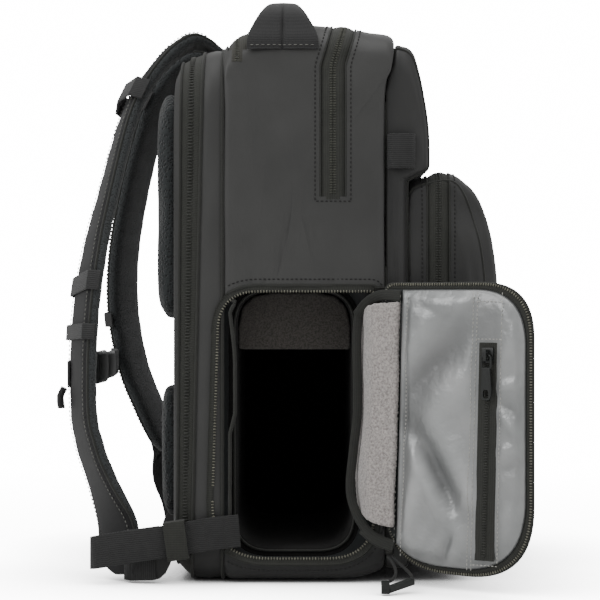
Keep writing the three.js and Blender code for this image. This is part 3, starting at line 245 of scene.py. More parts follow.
PAD_MESH = spacer_mesh("knitted_spacer_mesh", "#0a0c0d", "#24292a")
EDGE_MESH = spacer_mesh("knitted_spacer_mesh_edge", "#0d0f10", "#2a2e2f", 1.7, 0.5)
print("meshes:", 2)

# %% [markdown]
# The door's pocket is lined with silver-grey nylon taffeta. It is thin, shows a fine grid of yarns and
# catches the light along every crease. Its valleys also carry painted shade and its crests a painted
# highlight. The hinge and the insert are covered in loop fleece, whose short curls scatter light, so it
# looks soft and has no highlight.

# %% Lining and fleece
def lining_nylon(name, dark, light):
    """Taffeta, with an attribute "fold" that darkens its valleys as painted shade and brightens its crests as
    painted highlight.
    """
    made, tree, shader, solid, uv = blank(name)
    tone = two_tones(tree, shader, noise(tree, solid, 45, 3), dark, light)
    fold = add(tree, "ShaderNodeAttribute", attribute_name="fold").outputs["Fac"]
    parts = split(tree, uv)
    weave = blend_of(tree, wave(tree, parts["X"], 0.8), wave(tree, parts["Y"], 0.8), 0.5)
    crease = bump(tree, noise(tree, solid, 16, 3, 0.55), 1.6)
    feed(tree, shader, {
        # Painted shade and highlight: the colour is scaled by the fold attribute, down to half in valleys and
        # up to 1.3 times on crests.
        "Base Color": scaled(tree, tone, maths(tree, "MULTIPLY_ADD", fold, 0.5, 1.0)),
        "Normal": bump(tree, weave, 0.03, crease),
        "Roughness": 0.36, "Specular IOR Level": 0.8, "Metallic": 0.35,
    })
    return made


def loop_fleece(name, dark, light, curl_mm=1.6, depth=0.9, sheen=0.5):
    made, tree, shader, solid, _ = blank(name)
    curls = noise(tree, solid, curl_mm, 3, 0.65)
    two_tones(tree, shader, curls, dark, light, 0.35, 0.62)
    soft = bump(tree, noise(tree, solid, 18, 2), 0.8)
    feed(tree, shader, {
        "Normal": bump(tree, curls, depth, soft),
        "Roughness": 1.0, "Specular IOR Level": 0.1, "Sheen Weight": sheen, "Sheen Roughness": 0.7,
    })
    return made


POCKET_LINING = lining_nylon("nylon_taffeta", "#8f9191", "#a9aaaa")
PALE_FLEECE = loop_fleece("loop_fleece_pale", "#857e7b", "#bdb6b2")
# Painted shade and light: the insert's walls and its divider are one fleece in two copies, the walls darkened
# for the shade in the cavity and the divider lightened for the light on it.
SHADED_FLEECE = loop_fleece("loop_fleece_shaded", "#0e0e0d", "#1b1a19", 1.4, 0.6, 0.05)
LIT_DIVIDER_FLEECE = loop_fleece("loop_fleece_divider_lit", "#3b3835", "#5b5753", 1.4, 0.6, 0.2)
FUNNEL_CLOTH = coated_nylon("nylon_lining_black", "#0f1213", "#171b1b", 0.6)
print("linings and fleeces:", 5)

# %% [markdown]
# Buckles, zip pulls and cord locks are moulded in acetal, a dense plastic with a satin skin. Sliders are
# die-cast zinc with a dull black plate. Thread is twisted polyester, and the cord is braided nylon. The
# coil round the side opening is paler and browner than the other coils.

# %% Plastic, metal, thread and cord
def satin_solid(name, dark, light, roughness, metallic=0.0):
    made, tree, shader, solid, _ = blank(name)
    two_tones(tree, shader, noise(tree, solid, 3, 3), dark, light)
    skin = bump(tree, noise(tree, solid, 0.6, 2), 0.02)
    feed(tree, shader, {"Normal": skin, "Roughness": roughness, "Metallic": metallic})
    return made


def braided_cord(name, dark, light, strand_mm=1.6):
    made, tree, shader, _, uv = blank(name)
    parts = split(tree, uv)
    slants = [maths(tree, "MULTIPLY_ADD", parts["Y"], sign, parts["X"]) for sign in (1, -1)]
    height = maths(tree, "MAXIMUM", *[wave(tree, slant, strand_mm) for slant in slants])
    two_tones(tree, shader, height, dark, light)
    feed(tree, shader, {"Normal": bump(tree, height, 0.2), "Roughness": 0.7})
    return made


ACETAL = satin_solid("moulded_acetal", "#171918", "#222523", 0.42)
SLIDER_METAL = satin_solid("blackened_zinc", "#232322", "#3a3a38", 0.34, 1.0)
COIL = satin_solid("polyester_coil", "#1f201d", "#33342e", 0.5)
PALE_COIL = satin_solid("polyester_coil_olive", "#2d2e27", "#45463c", 0.5)
RIM_COIL = satin_solid("polyester_coil_brown", "#54534a", "#8a887a", 0.45)
DARK_THREAD = satin_solid("twisted_thread_dark", "#141413", "#242422", 0.8)
PALE_THREAD = satin_solid("twisted_thread_pale", "#a3a29c", "#c6c5bf", 0.8)
GREY_THREAD = satin_solid("twisted_thread_grey", "#5c5c58", "#777772", 0.8)
CORD_BRAID = braided_cord("braided_nylon_cord", "#171717", "#333332")
print("small finishes:", 9)

# %% [markdown]
# Cords are made first, because their place and length are facts and not looks. Each pull cord leaves the low
# slider on the door, bows out and ends in the grip, so its route is a list of points given one by one. The
# points are places beside the slider in millimetres, with the height as a share of the slider's height.

# %% Pull cord routes
DOOR_HINGE = (60, -144.7)
DOOR_OPEN = math.radians(33)
CORD_DIAMETER = 2.4
SLIDER_HEIGHT = 23


def on_door(x, y, z):
    """A place on the opened door: x from its hinge, y out of its panel, z up."""
    along = (math.cos(DOOR_OPEN), -math.sin(DOOR_OPEN))
    out = (math.sin(DOOR_OPEN), math.cos(DOOR_OPEN))
    return (DOOR_HINGE[0] + x * along[0] + y * out[0], DOOR_HINGE[1] + x * along[1] + y * out[1], z)


CORD_LEFT = [
    (-1.2, -0.5, 0.926), (-0.3, -3, 0.9), (0.7, -5.8, 0.865), (1.5, -8.7, 0.822), (2.2, -11.7, 0.774),
    (2.8, -14.8, 0.726), (3.2, -17.9, 0.678), (3.5, -21.1, 0.635), (3.5, -24.3, 0.591), (3.3, -27.5, 0.557),
    (2.9, -30.7, 0.526), (2.1, -33.9, 0.496), (1.1, -37.1, 0.461), (-0.2, -40.3, 0.43), (-1.4, -42.9, 0.404),
]
CORD_RIGHT = [
    (1.8, -1.9, 0.926), (3.3, -3.7, 0.891), (4.7, -5.5, 0.848), (6.1, -7.4, 0.8), (7.5, -9.4, 0.752),
    (8.8, -11.5, 0.709), (10, -13.7, 0.665), (11.1, -16, 0.626), (12.2, -18.4, 0.591), (13.1, -20.8, 0.557),
    (13.9, -23.3, 0.526), (14.5, -25.8, 0.5), (14.9, -28.3, 0.465), (15, -30.2, 0.417), (15, -31.6, 0.383),
]


def by_slider(along, across, share):
    start = on_door(9, -8.2, SLIDER_HEIGHT)
    return (start[0] + along, start[1] + across, share * SLIDER_HEIGHT)


cord_routes = {
    "pull_cord_left": [by_slider(*point) for point in CORD_LEFT],
    "pull_cord_right": [by_slider(*point) for point in CORD_RIGHT],
}
for name, route in cord_routes.items():
    print(name, "runs", round(sum(math.dist(a, b) for a, b in zip(route, route[1:])), 1), "mm")

# %% [markdown]
# Every mesh here is written in millimetres and turned to metres in one place. A loft joins sections with
# the same number of points. Its UV map runs in millimetres along the sections and around them, so a weave
# keeps its size on each piece.

# %% Meshes and lofts
def mesh_of(name, points, faces):
    mesh = bpy.data.meshes.new(name)
    mesh.from_pydata([tuple(float(c) * MM for c in p) for p in points], [], faces)
    return mesh


def piece_of(name, mesh):
    piece = bpy.data.objects.new(name, mesh)
    scene.collection.objects.link(piece)
    return piece


def assign(piece, body):
    """The body that carries the piece."""
    if body:
        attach(piece, body)


def make(name, points, faces, material, uvs=None, angle=40, slot=None, body=BODY):
    mesh = mesh_of(name, points, faces)
    if uvs is not None:
        layer = mesh.uv_layers.new(name="UVMap")
        layer.data.foreach_set("uv", np.asarray(uvs, dtype=float).reshape(-1))
    mesh.materials.append(material)
    face_out(mesh)
    shade(mesh, angle)
    piece = piece_of(name, mesh)
    assign(piece, body)
    return piece


def face_out(mesh):
    work = bmesh.new()
    work.from_mesh(mesh)
    bmesh.ops.recalc_face_normals(work, faces=work.faces)
    work.to_mesh(mesh)
    work.free()


def shade(mesh, angle):
    mesh.polygons.foreach_set("use_smooth", [True] * len(mesh.polygons))
    mesh.set_sharp_from_angle(angle=math.radians(angle))


def loft_mesh(rings, capped=True, looped=False):
    """Points, faces and UVs, one UV unit to the millimetre, of a tube through closed sections."""
    rings = np.asarray(rings, dtype=float)
    count, around = rings.shape[:2]
    steps = np.linalg.norm(np.diff(rings, axis=0), axis=2).mean(axis=1)
    along = np.concatenate([[0], np.cumsum(steps)])
    girth = np.linalg.norm(np.roll(rings[count // 2], -1, axis=0) - rings[count // 2], axis=1)
    side = np.concatenate([[0], np.cumsum(girth)])
    faces = []
    uvs = []
    for i in range(count if looped else count - 1):
        here, there = i * around, ((i + 1) % count) * around
        end = along[i + 1] if i + 1 < count else along[i] + steps[-1]
        for j in range(around):
            k = (j + 1) % around
            faces.append((here + j, here + k, there + k, there + j))
            uvs += [(along[i], side[j]), (along[i], side[j + 1]), (end, side[j + 1]), (end, side[j])]
    if capped and not looped:
        for i in (0, count - 1):
            faces.append(tuple(range(i * around, (i + 1) * around)))
            uvs += [(along[i], s) for s in side[:-1]]
    return rings.reshape(-1, 3), faces, uvs


def lofted(name, rings, material, capped=True, looped=False, **settings):
    points, faces, uvs = loft_mesh(rings, capped, looped)
    return make(name, points, faces, material, uvs, **settings)


def smooth_path(points, spacing):
    """A path through the points by Catmull-Rom curves, with places about that far apart."""
    points = np.asarray(points, dtype=float)
    ends = np.vstack([2 * points[0] - points[1], points, 2 * points[-1] - points[-2]])
    path = []
    for i in range(len(points) - 1):
        a, b, c, d = ends[i : i + 4]
        parts = max(1, round(np.linalg.norm(c[:3] - b[:3]) / spacing))
        for t in np.arange(parts) / parts:
            curve = 2 * b + (c - a) * t + (2 * a - 5 * b + 4 * c - d) * t**2
            path.append(0.5 * (curve + (3 * b - a - 3 * c + d) * t**3))
    return np.array(path + [points[-1]])


def tangents(path):
    directions = np.gradient(np.asarray(path, dtype=float), axis=0)
    return directions / np.linalg.norm(directions, axis=1)[:, None]


def tube_rings(path, radius, sides=10, looped=False):
    """Round sections along a path, carried from one place to the next without a twist."""
    path = np.asarray(path, dtype=float)
    along = np.roll(path, -1, axis=0) - np.roll(path, 1, axis=0) if looped else np.gradient(path, axis=0)
    along = along / np.linalg.norm(along, axis=1)[:, None]
    first = np.cross(along[0], (0.3, 0.5, 0.81))
    across = first / np.linalg.norm(first)
    turns = np.arange(sides) * 2 * math.pi / sides
    rings = []
    for place, direction in zip(path, along):
        across = across - direction * np.dot(across, direction)
        across = across / np.linalg.norm(across)
        other = np.cross(direction, across)
        rings.append([place + radius * (math.cos(t) * across + math.sin(t) * other) for t in turns])
    return rings


def tube(name, path, radius, material, sides=10, looped=False, **settings):
    rings = tube_rings(path, radius, sides, looped)
    return lofted(name, rings, material, not looped, looped, angle=60, **settings)


def piping(name, path, radius, looped=True, slot="zip_tape"):
    tube(name, path, radius, BINDING, sides=8, looped=looped, slot=slot)


print("mesh helpers are ready")

# %% Cords
for name, route in cord_routes.items():
    cord = tube(name, smooth_path(route, 1), CORD_DIAMETER / 2, CORD_BRAID, sides=14, slot="moulded_plastic")
    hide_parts(name)
    path = [tuple(c * MM for c in point) for point in route]
print("cords:", len(cord_routes))

# %% [markdown]
# A carried-over solid whose shape is right keeps it, but real parts have no knife edges. This helper copies
# a solid, merges its loose triangles and rounds its edges, and the copy then stands for the solid.

# %% Rounded copies of solids
BEVEL_ANGLE = 30


def opened_copy(node, material):
    """A solid's mesh in another material, and the same mesh open for edits with its triangles merged."""
    mesh = bpy.data.objects[node].data.copy()
    mesh.materials.clear()
    mesh.materials.append(material)
    work = bmesh.new()
    work.from_mesh(mesh)
    bmesh.ops.remove_doubles(work, verts=work.verts, dist=0.01 * MM)
    return mesh, work


def rounded_copy(node, material, bevel, slot, segments=3):
    mesh, work = opened_copy(node, material)
    bmesh.ops.dissolve_limit(work, angle_limit=math.radians(1), verts=work.verts, edges=work.edges)
    work.to_mesh(mesh)
    work.free()
    piece = piece_of(node + "_finish", mesh)
    if bevel:
        edge = piece.modifiers.new("edges", "BEVEL")
        edge.width = bevel * MM
        edge.segments = segments
        edge.limit_method = "ANGLE"
        edge.angle_limit = math.radians(BEVEL_ANGLE)
        settle(piece)
    face_out(piece.data)
    shade(piece.data, 50)
    assign(piece, BODY)
    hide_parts(node)
    return piece


def settle(piece):
    """The piece's modifiers applied to its mesh."""
    evaluated = piece.evaluated_get(bpy.context.evaluated_depsgraph_get())
    finished = bpy.data.meshes.new_from_object(evaluated)
    piece.modifiers.clear()
    piece.data = finished


print("solids can be rounded")

# %% [markdown]
# Stitches and zip teeth repeat hundreds of times along a path. A small Geometry Nodes tree puts one rounded
# solid on every vertex of a carrier, turned by two attributes: along the seam and out of the cloth. The
# sizes are inputs of the tree, so one tree serves both thread and teeth.

# %% The tree for stitches and teeth
SIZES = ("Length", "Width", "Height")


def repeat_tree():
    tree = bpy.data.node_groups.new("repeat_along_seam", "GeometryNodeTree")
    face = tree.interface
    face.new_socket("Geometry", in_out="INPUT", socket_type="NodeSocketGeometry")
    sockets = {}
    for label in SIZES:
        sockets[label] = face.new_socket(label, in_out="INPUT", socket_type="NodeSocketFloat")
    sockets["Finish"] = face.new_socket("Finish", in_out="INPUT", socket_type="NodeSocketMaterial")
    face.new_socket("Geometry", in_out="OUTPUT", socket_type="NodeSocketGeometry")
    start = add(tree, "NodeGroupInput").outputs
    along = add(tree, "GeometryNodeInputNamedAttribute", {"Name": "along"}, data_type="FLOAT_VECTOR").outputs[0]
    out = add(tree, "GeometryNodeInputNamedAttribute", {"Name": "out"}, data_type="FLOAT_VECTOR").outputs[0]
    first = add(tree, "FunctionNodeAlignRotationToVector", {"Vector": along}, axis="X").outputs[0]
    turns = {"Rotation": first, "Vector": out}
    turned = add(tree, "FunctionNodeAlignRotationToVector", turns, axis="Z", pivot_axis="X")
    size = add(tree, "ShaderNodeCombineXYZ", {i: start[label] for i, label in enumerate(SIZES)})
    bead = add(tree, "GeometryNodeMeshUVSphere", {"Segments": 8, "Rings": 5, "Radius": 0.5})
    copies = {"Points": start["Geometry"], "Instance": bead.outputs[0]}
    copies |= {"Rotation": turned.outputs[0], "Scale": size.outputs[0]}
    placed = add(tree, "GeometryNodeInstanceOnPoints", copies)
    real = add(tree, "GeometryNodeRealizeInstances", {0: placed.outputs[0]})
    finished = add(tree, "GeometryNodeSetMaterial", {"Geometry": real.outputs[0], "Material": start["Finish"]})
    add(tree, "NodeGroupOutput", {0: finished.outputs[0]})
    return tree, {label: socket.identifier for label, socket in sockets.items()}


SEAM_TREE, SEAM_INPUTS = repeat_tree()


def spaced(path, outs, spacing):
    """Places that far apart along a path, with the path's direction and the outs at the same places."""
    path = np.asarray(path, dtype=float)
    reach = np.concatenate([[0], np.cumsum(np.linalg.norm(np.diff(path, axis=0), axis=1))])
    at = np.arange(spacing / 2, reach[-1], spacing)
    rows = (path, tangents(path), np.asarray(outs))
    return [np.stack([np.interp(at, reach, row[:, k]) for k in range(3)], axis=1) for row in rows]


def repeat(name, path, outs, spacing, size, material):
    """Beads of that size (length, width, height) in millimetres along a path, and how many there are."""
    places, alongs, outs = spaced(path, outs, spacing)
    mesh = mesh_of(name, places, [])
    for label, vectors in (("along", alongs), ("out", outs)):
        attribute = mesh.attributes.new(label, "FLOAT_VECTOR", "POINT")
        attribute.data.foreach_set("vector", vectors.reshape(-1))
    piece = piece_of(name, mesh)
    modifier = piece.modifiers.new("seam", "NODES")
    modifier.node_group = SEAM_TREE
    for label, value in zip(SIZES, size):
        modifier[SEAM_INPUTS[label]] = value * MM
    modifier[SEAM_INPUTS["Finish"]] = material
    settle(piece)
    shade(piece.data, 180)
    assign(piece, BODY)
    return len(places)


def stitches(name, path, outs, spacing=3.4, size=(2.3, 1.1, 0.9), material=DARK_THREAD, slot="coated_fabric"):
    repeat(name, path, outs, spacing, size, material)


print("seam tree inputs:", list(SEAM_INPUTS))

# %% [markdown]
# Each compartment is a shell of coated nylon, cut as two side panels joined by one gusset that runs round
# them. Its side view is an outline of corners with soft curves. Rings of that outline step inwards from the
# gusset to the side panel, which gives the rounded edge. The wall is added by Solidify, and the zips and the
# side opening are cut out by booleans, so the cloth has a real cut edge.

# %% Compartment outlines
ZIP_BEND, ZIP_TOP, ZIP_LEAN = 386, 432, 14
MAIN_HEIGHT = 420

MAIN = {
    "half": 143, "edge": 34, "pull": (2, 2, 24, 10), "crown": 2, "centre": (-6, 290),
    "corners": [
        (-61, 0, 8, 1, 1), (41, 0, 18, 0, 1), (61, 8, 6, -1, 1), (61, 372, 16, -1, 0),
        (70, 411, 9, -1, -1), (20.74, 420, 26, 0, -1), (-34.16, 420, 22, 0, -1), (-61, 403, 7, 1, -1),
    ],
}
FRONT = {
    "half": 137, "edge": 18, "pull": (0, 7, 20, 10), "crown": 1, "centre": (66.5, 303),
    "corners": [
        (61.3, 9, 3, 1, 1), (79, 9, 3, -1, 1), (79, 301, 2, -1, 0), (95, 309, 4, -1, 0), (95, 341, 26, -1, 0),
        (88.28, 380.1, 14, -1, -0.5), (82.2, 401.1, 8, -1, -1), (69.1, 404.5, 3, 1, -1), (61.3, 372, 14, 1, 0),
    ],
}
POCKET = {
    "half": 130, "edge": 20, "pull": (0, 20, 12, 8), "crown": 2, "centre": (110.5, 155),
    "corners": [
        (79.3, 10, 4, 1, 1), (129.4, 10, 16, 0, 1), (146.9, 46.5, 24, -1, 0.5), (149, 155, 50, -1, 0),
        (146.9, 241.8, 30, -1, 0), (135, 288.3, 16, -1, -0.5), (112.6, 310, 12, 0, -1), (79.3, 302, 8, 1, -1),
    ],
}


LONGEST_BEND = 0.47
SHORTEST_BEND = 0.4


def outline(corners, arc=7, straight=8):
    """A closed outline through corners (x, z, round), with a curve at each and divided runs between."""
    places = [np.array(c[:2], dtype=float) for c in corners]
    count = len(places)

    def curve_end(i, other):
        """Where the curve at one corner meets the run to another."""
        away = places[other] - places[i]
        run = np.linalg.norm(away)
        return places[i] + away / run * max(min(corners[i][2], LONGEST_BEND * run), SHORTEST_BEND)

    points = []
    for i, here in enumerate(places):
        following = (i + 1) % count
        start, end, goal = curve_end(i, i - 1), curve_end(i, following), curve_end(following, i)
        for t in np.arange(arc + 1) / arc:
            points.append((1 - t) ** 2 * start + 2 * t * (1 - t) * here + t * t * end)
        points += [end + (goal - end) * t for t in np.arange(1, straight) / straight]
    return np.array(points)


def side_ring(form, share, straight=8):
    back, front, top, bottom = form["pull"]
    moved = []
    for x, z, bend, in_x, in_z in form["corners"]:
        pull_x = in_x * share * (back if in_x > 0 else front)
        pull_z = in_z * share * (bottom if in_z > 0 else top)
        moved.append((x + pull_x, z + pull_z, bend))
    return outline(moved, straight=straight)


def compartment_rings(form, edge_steps=10, cap_steps=14, across=14):
    half, edge, crown = form["half"], form["edge"], form["crown"]
    centre = np.array(form["centre"], dtype=float)
    panel = side_ring(form, 1)
    near = []
    for share in np.arange(1, cap_steps) / cap_steps:
        near.append((centre + (panel - centre) * share, half + crown * (1 - share**8)))
    for turn in np.linspace(0, math.pi / 2, edge_steps + 1):
        near.append((side_ring(form, 1 - math.sin(turn)), half - edge * (1 - math.cos(turn))))
    middle = [(near[-1][0], (half - edge) * (1 - 2 * k / across)) for k in range(1, across)]
    whole = [(ring, -y) for ring, y in near] + [(ring, -y) for ring, y in middle] + near[::-1]
    return [[(x, y, z) for x, z in ring] for ring, y in whole]


print("points in the main outline:", len(side_ring(MAIN, 0)))

# %% [markdown]
# Full cloth is never flat. Each dent or swell is a smooth hump in the cloth, wide across the bag and low,
# and a table gives its place, its reach both ways, its turn and its depth in millimetres. Broad faint
# puckers from stuffing and handling come from sums of slow waves, so they give the same cloth each run.

# %% Dents and puckers
MAIN_DENTS = [
    (24, 240, 34, 17, -10, 4.4), (-27, 238, 26, 16, 12, 3.2), (42, 256, 20, 8, -24, 2.4),
    (2, 302, 42, 30, 0, -1.5), (34, 262, 16, 9, -25, 1.8), (6, 268, 30, 7, 6, -1.2),
    (-36, 262, 14, 8, 30, 1.4), (44, 200, 9, 60, 4, 1.0), (-52, 330, 9, 50, 0, 0.9),
    (40, 340, 15, 30, 10, -0.9), (36, 30, 22, 14, 0, 1.0), (-30, 380, 22, 12, 0, 1.2),
]
FRONT_DENTS = [
    (86, 345, 9, 12, 20, 1.3), (70, 240, 7, 40, 0, 0.8), (70, 120, 6, 30, 0, -0.7), (72, 392, 8, 9, 10, 1.0),
]
POCKET_DENTS = [
    (125, 277, 15, 8, -30, 4.6), (112, 262, 8, 20, 35, -1.2), (128, 230, 14, 22, 10, 1.2),
    (135, 150, 9, 60, 0, -0.9), (118, 90, 16, 20, 15, 0.9), (100, 200, 9, 40, 5, 0.7),
    (126, 40, 16, 14, 20, 1.1),
]
PUCKERS = [
    (57, 0.7, 31, 0.4), (83, 1.9, 47, 0.5), (36, 2.7, 66, 0.28), (24, 0.3, 19, 0.16), (15, 1.2, 12, 0.08),
]


def dents_at(points, table, half):
    """How far the cloth moves towards the bag's middle at each place of its near side."""
    push = np.zeros(len(points))
    for x, z, across, tall, turn, deep in table:
        angle = math.radians(turn)
        dx, dz = points[:, 0] - x, points[:, 2] - z
        along = dx * math.cos(angle) + dz * math.sin(angle)
        over = dz * math.cos(angle) - dx * math.sin(angle)
        push += deep * np.exp(-((along / across) ** 2) - (over / tall) ** 2)
    side = np.clip((np.abs(points[:, 1]) - 0.55 * half) / (0.4 * half), 0, 1)
    return push * side


def puckers_at(points):
    x, y, z = points.T
    total = np.zeros(len(points))
    for length, shift, other, deep in PUCKERS:
        first = np.sin(2 * math.pi * (z + 0.4 * x) / length + shift + y / 40)
        second = np.sin(2 * math.pi * (x - 0.3 * z + 0.5 * y) / other + 1.7 * shift)
        total += deep * first * second
    return total


def crumple(rings, form, table, puckered=1.0):
    rings = np.asarray(rings, dtype=float)
    shape = rings.shape
    points = rings.reshape(-1, 3)
    inward = -np.sign(points[:, 1]) * dents_at(points, table, form["half"])
    points[:, 1] += inward
    middle = np.array([form["centre"][0], 0, form["centre"][1]])
    out = points - middle
    out = out / np.maximum(np.linalg.norm(out, axis=1), 1)[:, None]
    rim = np.clip((points[:, 2] - 4) / 12, 0, 1)
    points += out * (puckers_at(points) * rim * puckered)[:, None]
    return points.reshape(shape)


print("dents in the main panel:", len(MAIN_DENTS))

# %% [markdown]
# Zips, stitches and piping all lie on the cloth. A ray is sent to the uncut shell from outside, and the
# place where it lands, with the cloth's own direction there, carries whatever is sewn on. A zip runs up one
# side, over the top and down the other, so its path goes round the shell's section.

# %% Landing on the cloth
SIDE_RAY, TOP_RAY, EDGE_RAY = 260, 60, 90


class Cloth:
    """The uncut outer face of a compartment, to land paths on."""

    def __init__(self, rings, form):
        points, faces, _ = loft_mesh(rings)
        self.tree = BVHTree.FromPolygons([tuple(p) for p in points], faces)
        self.form = form

    def land(self, start, direction, lift):
        place, normal, _, _ = self.tree.ray_cast(Vector(start), Vector(direction).normalized())
        if place is None:
            place, normal, _, _ = self.tree.find_nearest(Vector(start))
        if normal.dot(Vector(direction)) > 0:
            normal = -normal
        return np.array(place) + lift * np.array(normal), np.array(normal)

    def from_side(self, x, z, sign, lift):
        """A place on the near side (sign -1) or the far side (sign 1), and the out there."""
        return self.land((x, sign * SIDE_RAY, z), (0, -sign, 0), lift)

    def over_top(self, x_at, low_end, lift, spacing=2.5):
        """Places up the near side from low_end, over the top and down the far side, and the outs there."""
        half, edge = self.form["half"], self.form["edge"]
        top = max(corner[1] for corner in self.form["corners"])
        bend, inner = top - edge, half - edge
        rises = np.arange(low_end, bend, spacing)
        turns = np.linspace(0, math.pi / 2, max(6, round(1.5 * edge / spacing)))[1:-1]
        flats = np.arange(-inner, 0.01, spacing)
        rays = [((-half - TOP_RAY, z), (1, 0)) for z in rises]
        for c, s in ((math.cos(t), math.sin(t)) for t in turns):
            rays.append(((-inner - EDGE_RAY * c, bend + EDGE_RAY * s), (c, -s)))
        rays += [((y, top + TOP_RAY), (0, -1)) for y in flats]
        rays += [((-y, z), (-dy, dz)) for (y, z), (dy, dz) in rays[::-1][1:]]
        places, outs = [], []
        for (y, z), (dy, dz) in rays:
            x = x_at(z)
            for _ in range(2):
                place, out = self.land((x, y, z), (0, dy, dz), lift)
                x = x_at(place[2])
            places.append(place)
            outs.append(out)
        return np.array(places), np.array(outs)


main_rings = crumple(compartment_rings(MAIN), MAIN, MAIN_DENTS)
front_rings = crumple(compartment_rings(FRONT), FRONT, FRONT_DENTS, 0.7)
pocket_rings = crumple(compartment_rings(POCKET), POCKET, POCKET_DENTS, 0.9)
main_cloth = Cloth(main_rings, MAIN)
front_cloth = Cloth(front_rings, FRONT)
pocket_cloth = Cloth(pocket_rings, POCKET)
print("landing faces:", len(main_rings) * len(main_rings[0]))

# %% Cutters and shells
OPENING = [(-74, 14, 48), (57, 14, 40), (57, 222, 8), (-68, 222, 34)]
MAIN_ZIP = {"x": 12, "width": 19, "low": 288, "lean": ZIP_LEAN}
TOP_ZIP = {"x": -57.5, "width": 15, "low": 398, "lean": 0}
POCKET_ZIP = {"x": 92.5, "width": 17, "low": 40, "lean": 0}
WALL = 2
OUTSIDE = -200
Y_INSERT = -127.7
THROUGH = 300


def zip_x(zipper, share):
    """The zip's x at a height, at that share of its width."""
    edge = zipper["x"] + share * zipper["width"]
    return lambda z: edge + zipper["lean"] * max(0, z - ZIP_BEND) / (ZIP_TOP - ZIP_BEND)


def cutter(side_view, y_low, y_high):
    points, faces, _ = loft_mesh([[(x, y, z) for x, z in side_view] for y in (y_low, y_high)])
    return make("cutter", points, faces, PANEL_CLOTH, body=None)


def zip_cutter(zipper):
    heights = [zipper["low"], ZIP_BEND, ZIP_TOP + 20] if zipper["lean"] else [zipper["low"], ZIP_TOP + 20]
    left, right = ([(zip_x(zipper, share)(z), z) for z in heights] for share in (0, 1))
    return cutter(left + right[::-1], -THROUGH, THROUGH)


def cut_by(piece, tools):
    """The tools' solids taken out of the piece."""
    for tool in tools:
        cut = piece.modifiers.new("cut", "BOOLEAN")
        cut.object = tool
        cut.operation = "DIFFERENCE"
        cut.solver = "MANIFOLD"
    settle(piece)
    for tool in tools:
        bpy.data.objects.remove(tool)


def shell(name, rings, material, tools, *nodes):
    piece = lofted(name, rings, material, slot="coated_fabric", angle=60)
    wall = piece.modifiers.new("wall", "SOLIDIFY")
    wall.thickness = WALL * MM
    wall.offset = -1
    cut_by(piece, tools)
    shade(piece.data, 45)
    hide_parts(*nodes)
    print(name, "faces:", len(piece.data.polygons))


main_tools = [cutter(outline(OPENING), OUTSIDE, Y_INSERT), zip_cutter(MAIN_ZIP), zip_cutter(TOP_ZIP)]
shell("main_compartment", main_rings, PANEL_CLOTH, main_tools, "main_shell")
shell("front_compartment", front_rings, FRONT_CLOTH, [], "front_shell")
shell("front_pocket", pocket_rings, FRONT_CLOTH, [zip_cutter(POCKET_ZIP)], "pocket_shell")

# %% [markdown]
# The zips are reversed coil zips with a rubbery film on the tape. Seen from outside, two lips of tape meet
# over the coil. The section of a zip is drawn across it: an edge tucked under the cloth, a rounded lip on
# each side and a seam in the middle. Ribs pressed in the lips are single beads, repeated by the tree.

# %% Zips over the top
LIP = [(-0.5, -2.3), (-0.46, -1.6), (-0.4, -0.9), (-0.28, -0.2), (-0.16, 0.5), (-0.1, 0.3), (0, 0.0)]
TUCK = 1.14
ZIP_SECTION = LIP + [(-share, high) for share, high in LIP[-2::-1]]
TAPE_THICKNESS = 1.4
RIB_SPACING = 1.9
STITCH_LIFT = 0.25


def zip_over(name, cloth, zipper, material, rib_material, node):
    columns = []
    for share, high in ZIP_SECTION:
        columns.append(cloth.over_top(zip_x(zipper, 0.5 + share * TUCK), zipper["low"] - 2, high))
    upper = [[places[i] for places, _ in columns] for i in range(len(columns[0][0]))]
    lower = []
    for i, row in enumerate(upper):
        outs = [columns[k][1][i] for k in range(len(columns))]
        lower.append([place - TAPE_THICKNESS * out for place, out in zip(row, outs)])
    rings = [row + under[::-1] for row, under in zip(upper, lower)]
    band = lofted(name, rings, material, slot="zip_tape", angle=50)
    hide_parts(node)
    for label, side in (("back", -1), ("front", 1)):
        path, outs = cloth.over_top(zip_x(zipper, 0.5 + side * 0.07), zipper["low"] + 2, STITCH_LIFT)
        size = (1.2, 0.15 * zipper["width"], 1.0)
        repeat(f"{name}_ribs_{label}", path, outs, RIB_SPACING, size, rib_material)


zip_over("main_zip_tape", main_cloth, MAIN_ZIP, TAPE, PALE_COIL, "main_zip")
zip_over("top_zip_tape", main_cloth, TOP_ZIP, TOP_TAPE, PALE_COIL, "top_rear_zip")
zip_over("pocket_zip_tape", pocket_cloth, POCKET_ZIP, TAPE, COIL, "pocket_zip")

# %% Stitches beside the zips
STITCH_OFF = 3.8
SIDES = (("near", -1), ("far", 1))

for label, cloth, zipper in (("main_zip", main_cloth, MAIN_ZIP), ("pocket_zip", pocket_cloth, POCKET_ZIP)):
    low = zipper["low"] - 3.5
    for side, sign in (("back", -1), ("front", 1)):
        share = 0.5 + sign * (0.5 + STITCH_OFF / zipper["width"])
        path, outs = cloth.over_top(zip_x(zipper, share), low, STITCH_LIFT)
        stitches(f"{label}_stitches_{side}", path, outs)
        welt, _ = cloth.over_top(zip_x(zipper, 0.5 + sign * 0.5), zipper["low"], -0.1)
        piping(f"{label}_welt_{side}", welt, 0.75, looped=False)
    x_ends = [zip_x(zipper, 0)(low) - STITCH_OFF, zip_x(zipper, 1)(low) + STITCH_OFF]
    for side, sign in SIDES:
        hits = [cloth.from_side(x, low, sign, STITCH_LIFT) for x in np.linspace(*x_ends, 12)]
        stitches(f"{label}_stitches_low_{side}", *zip(*hits))
print("zips and their stitches are on")

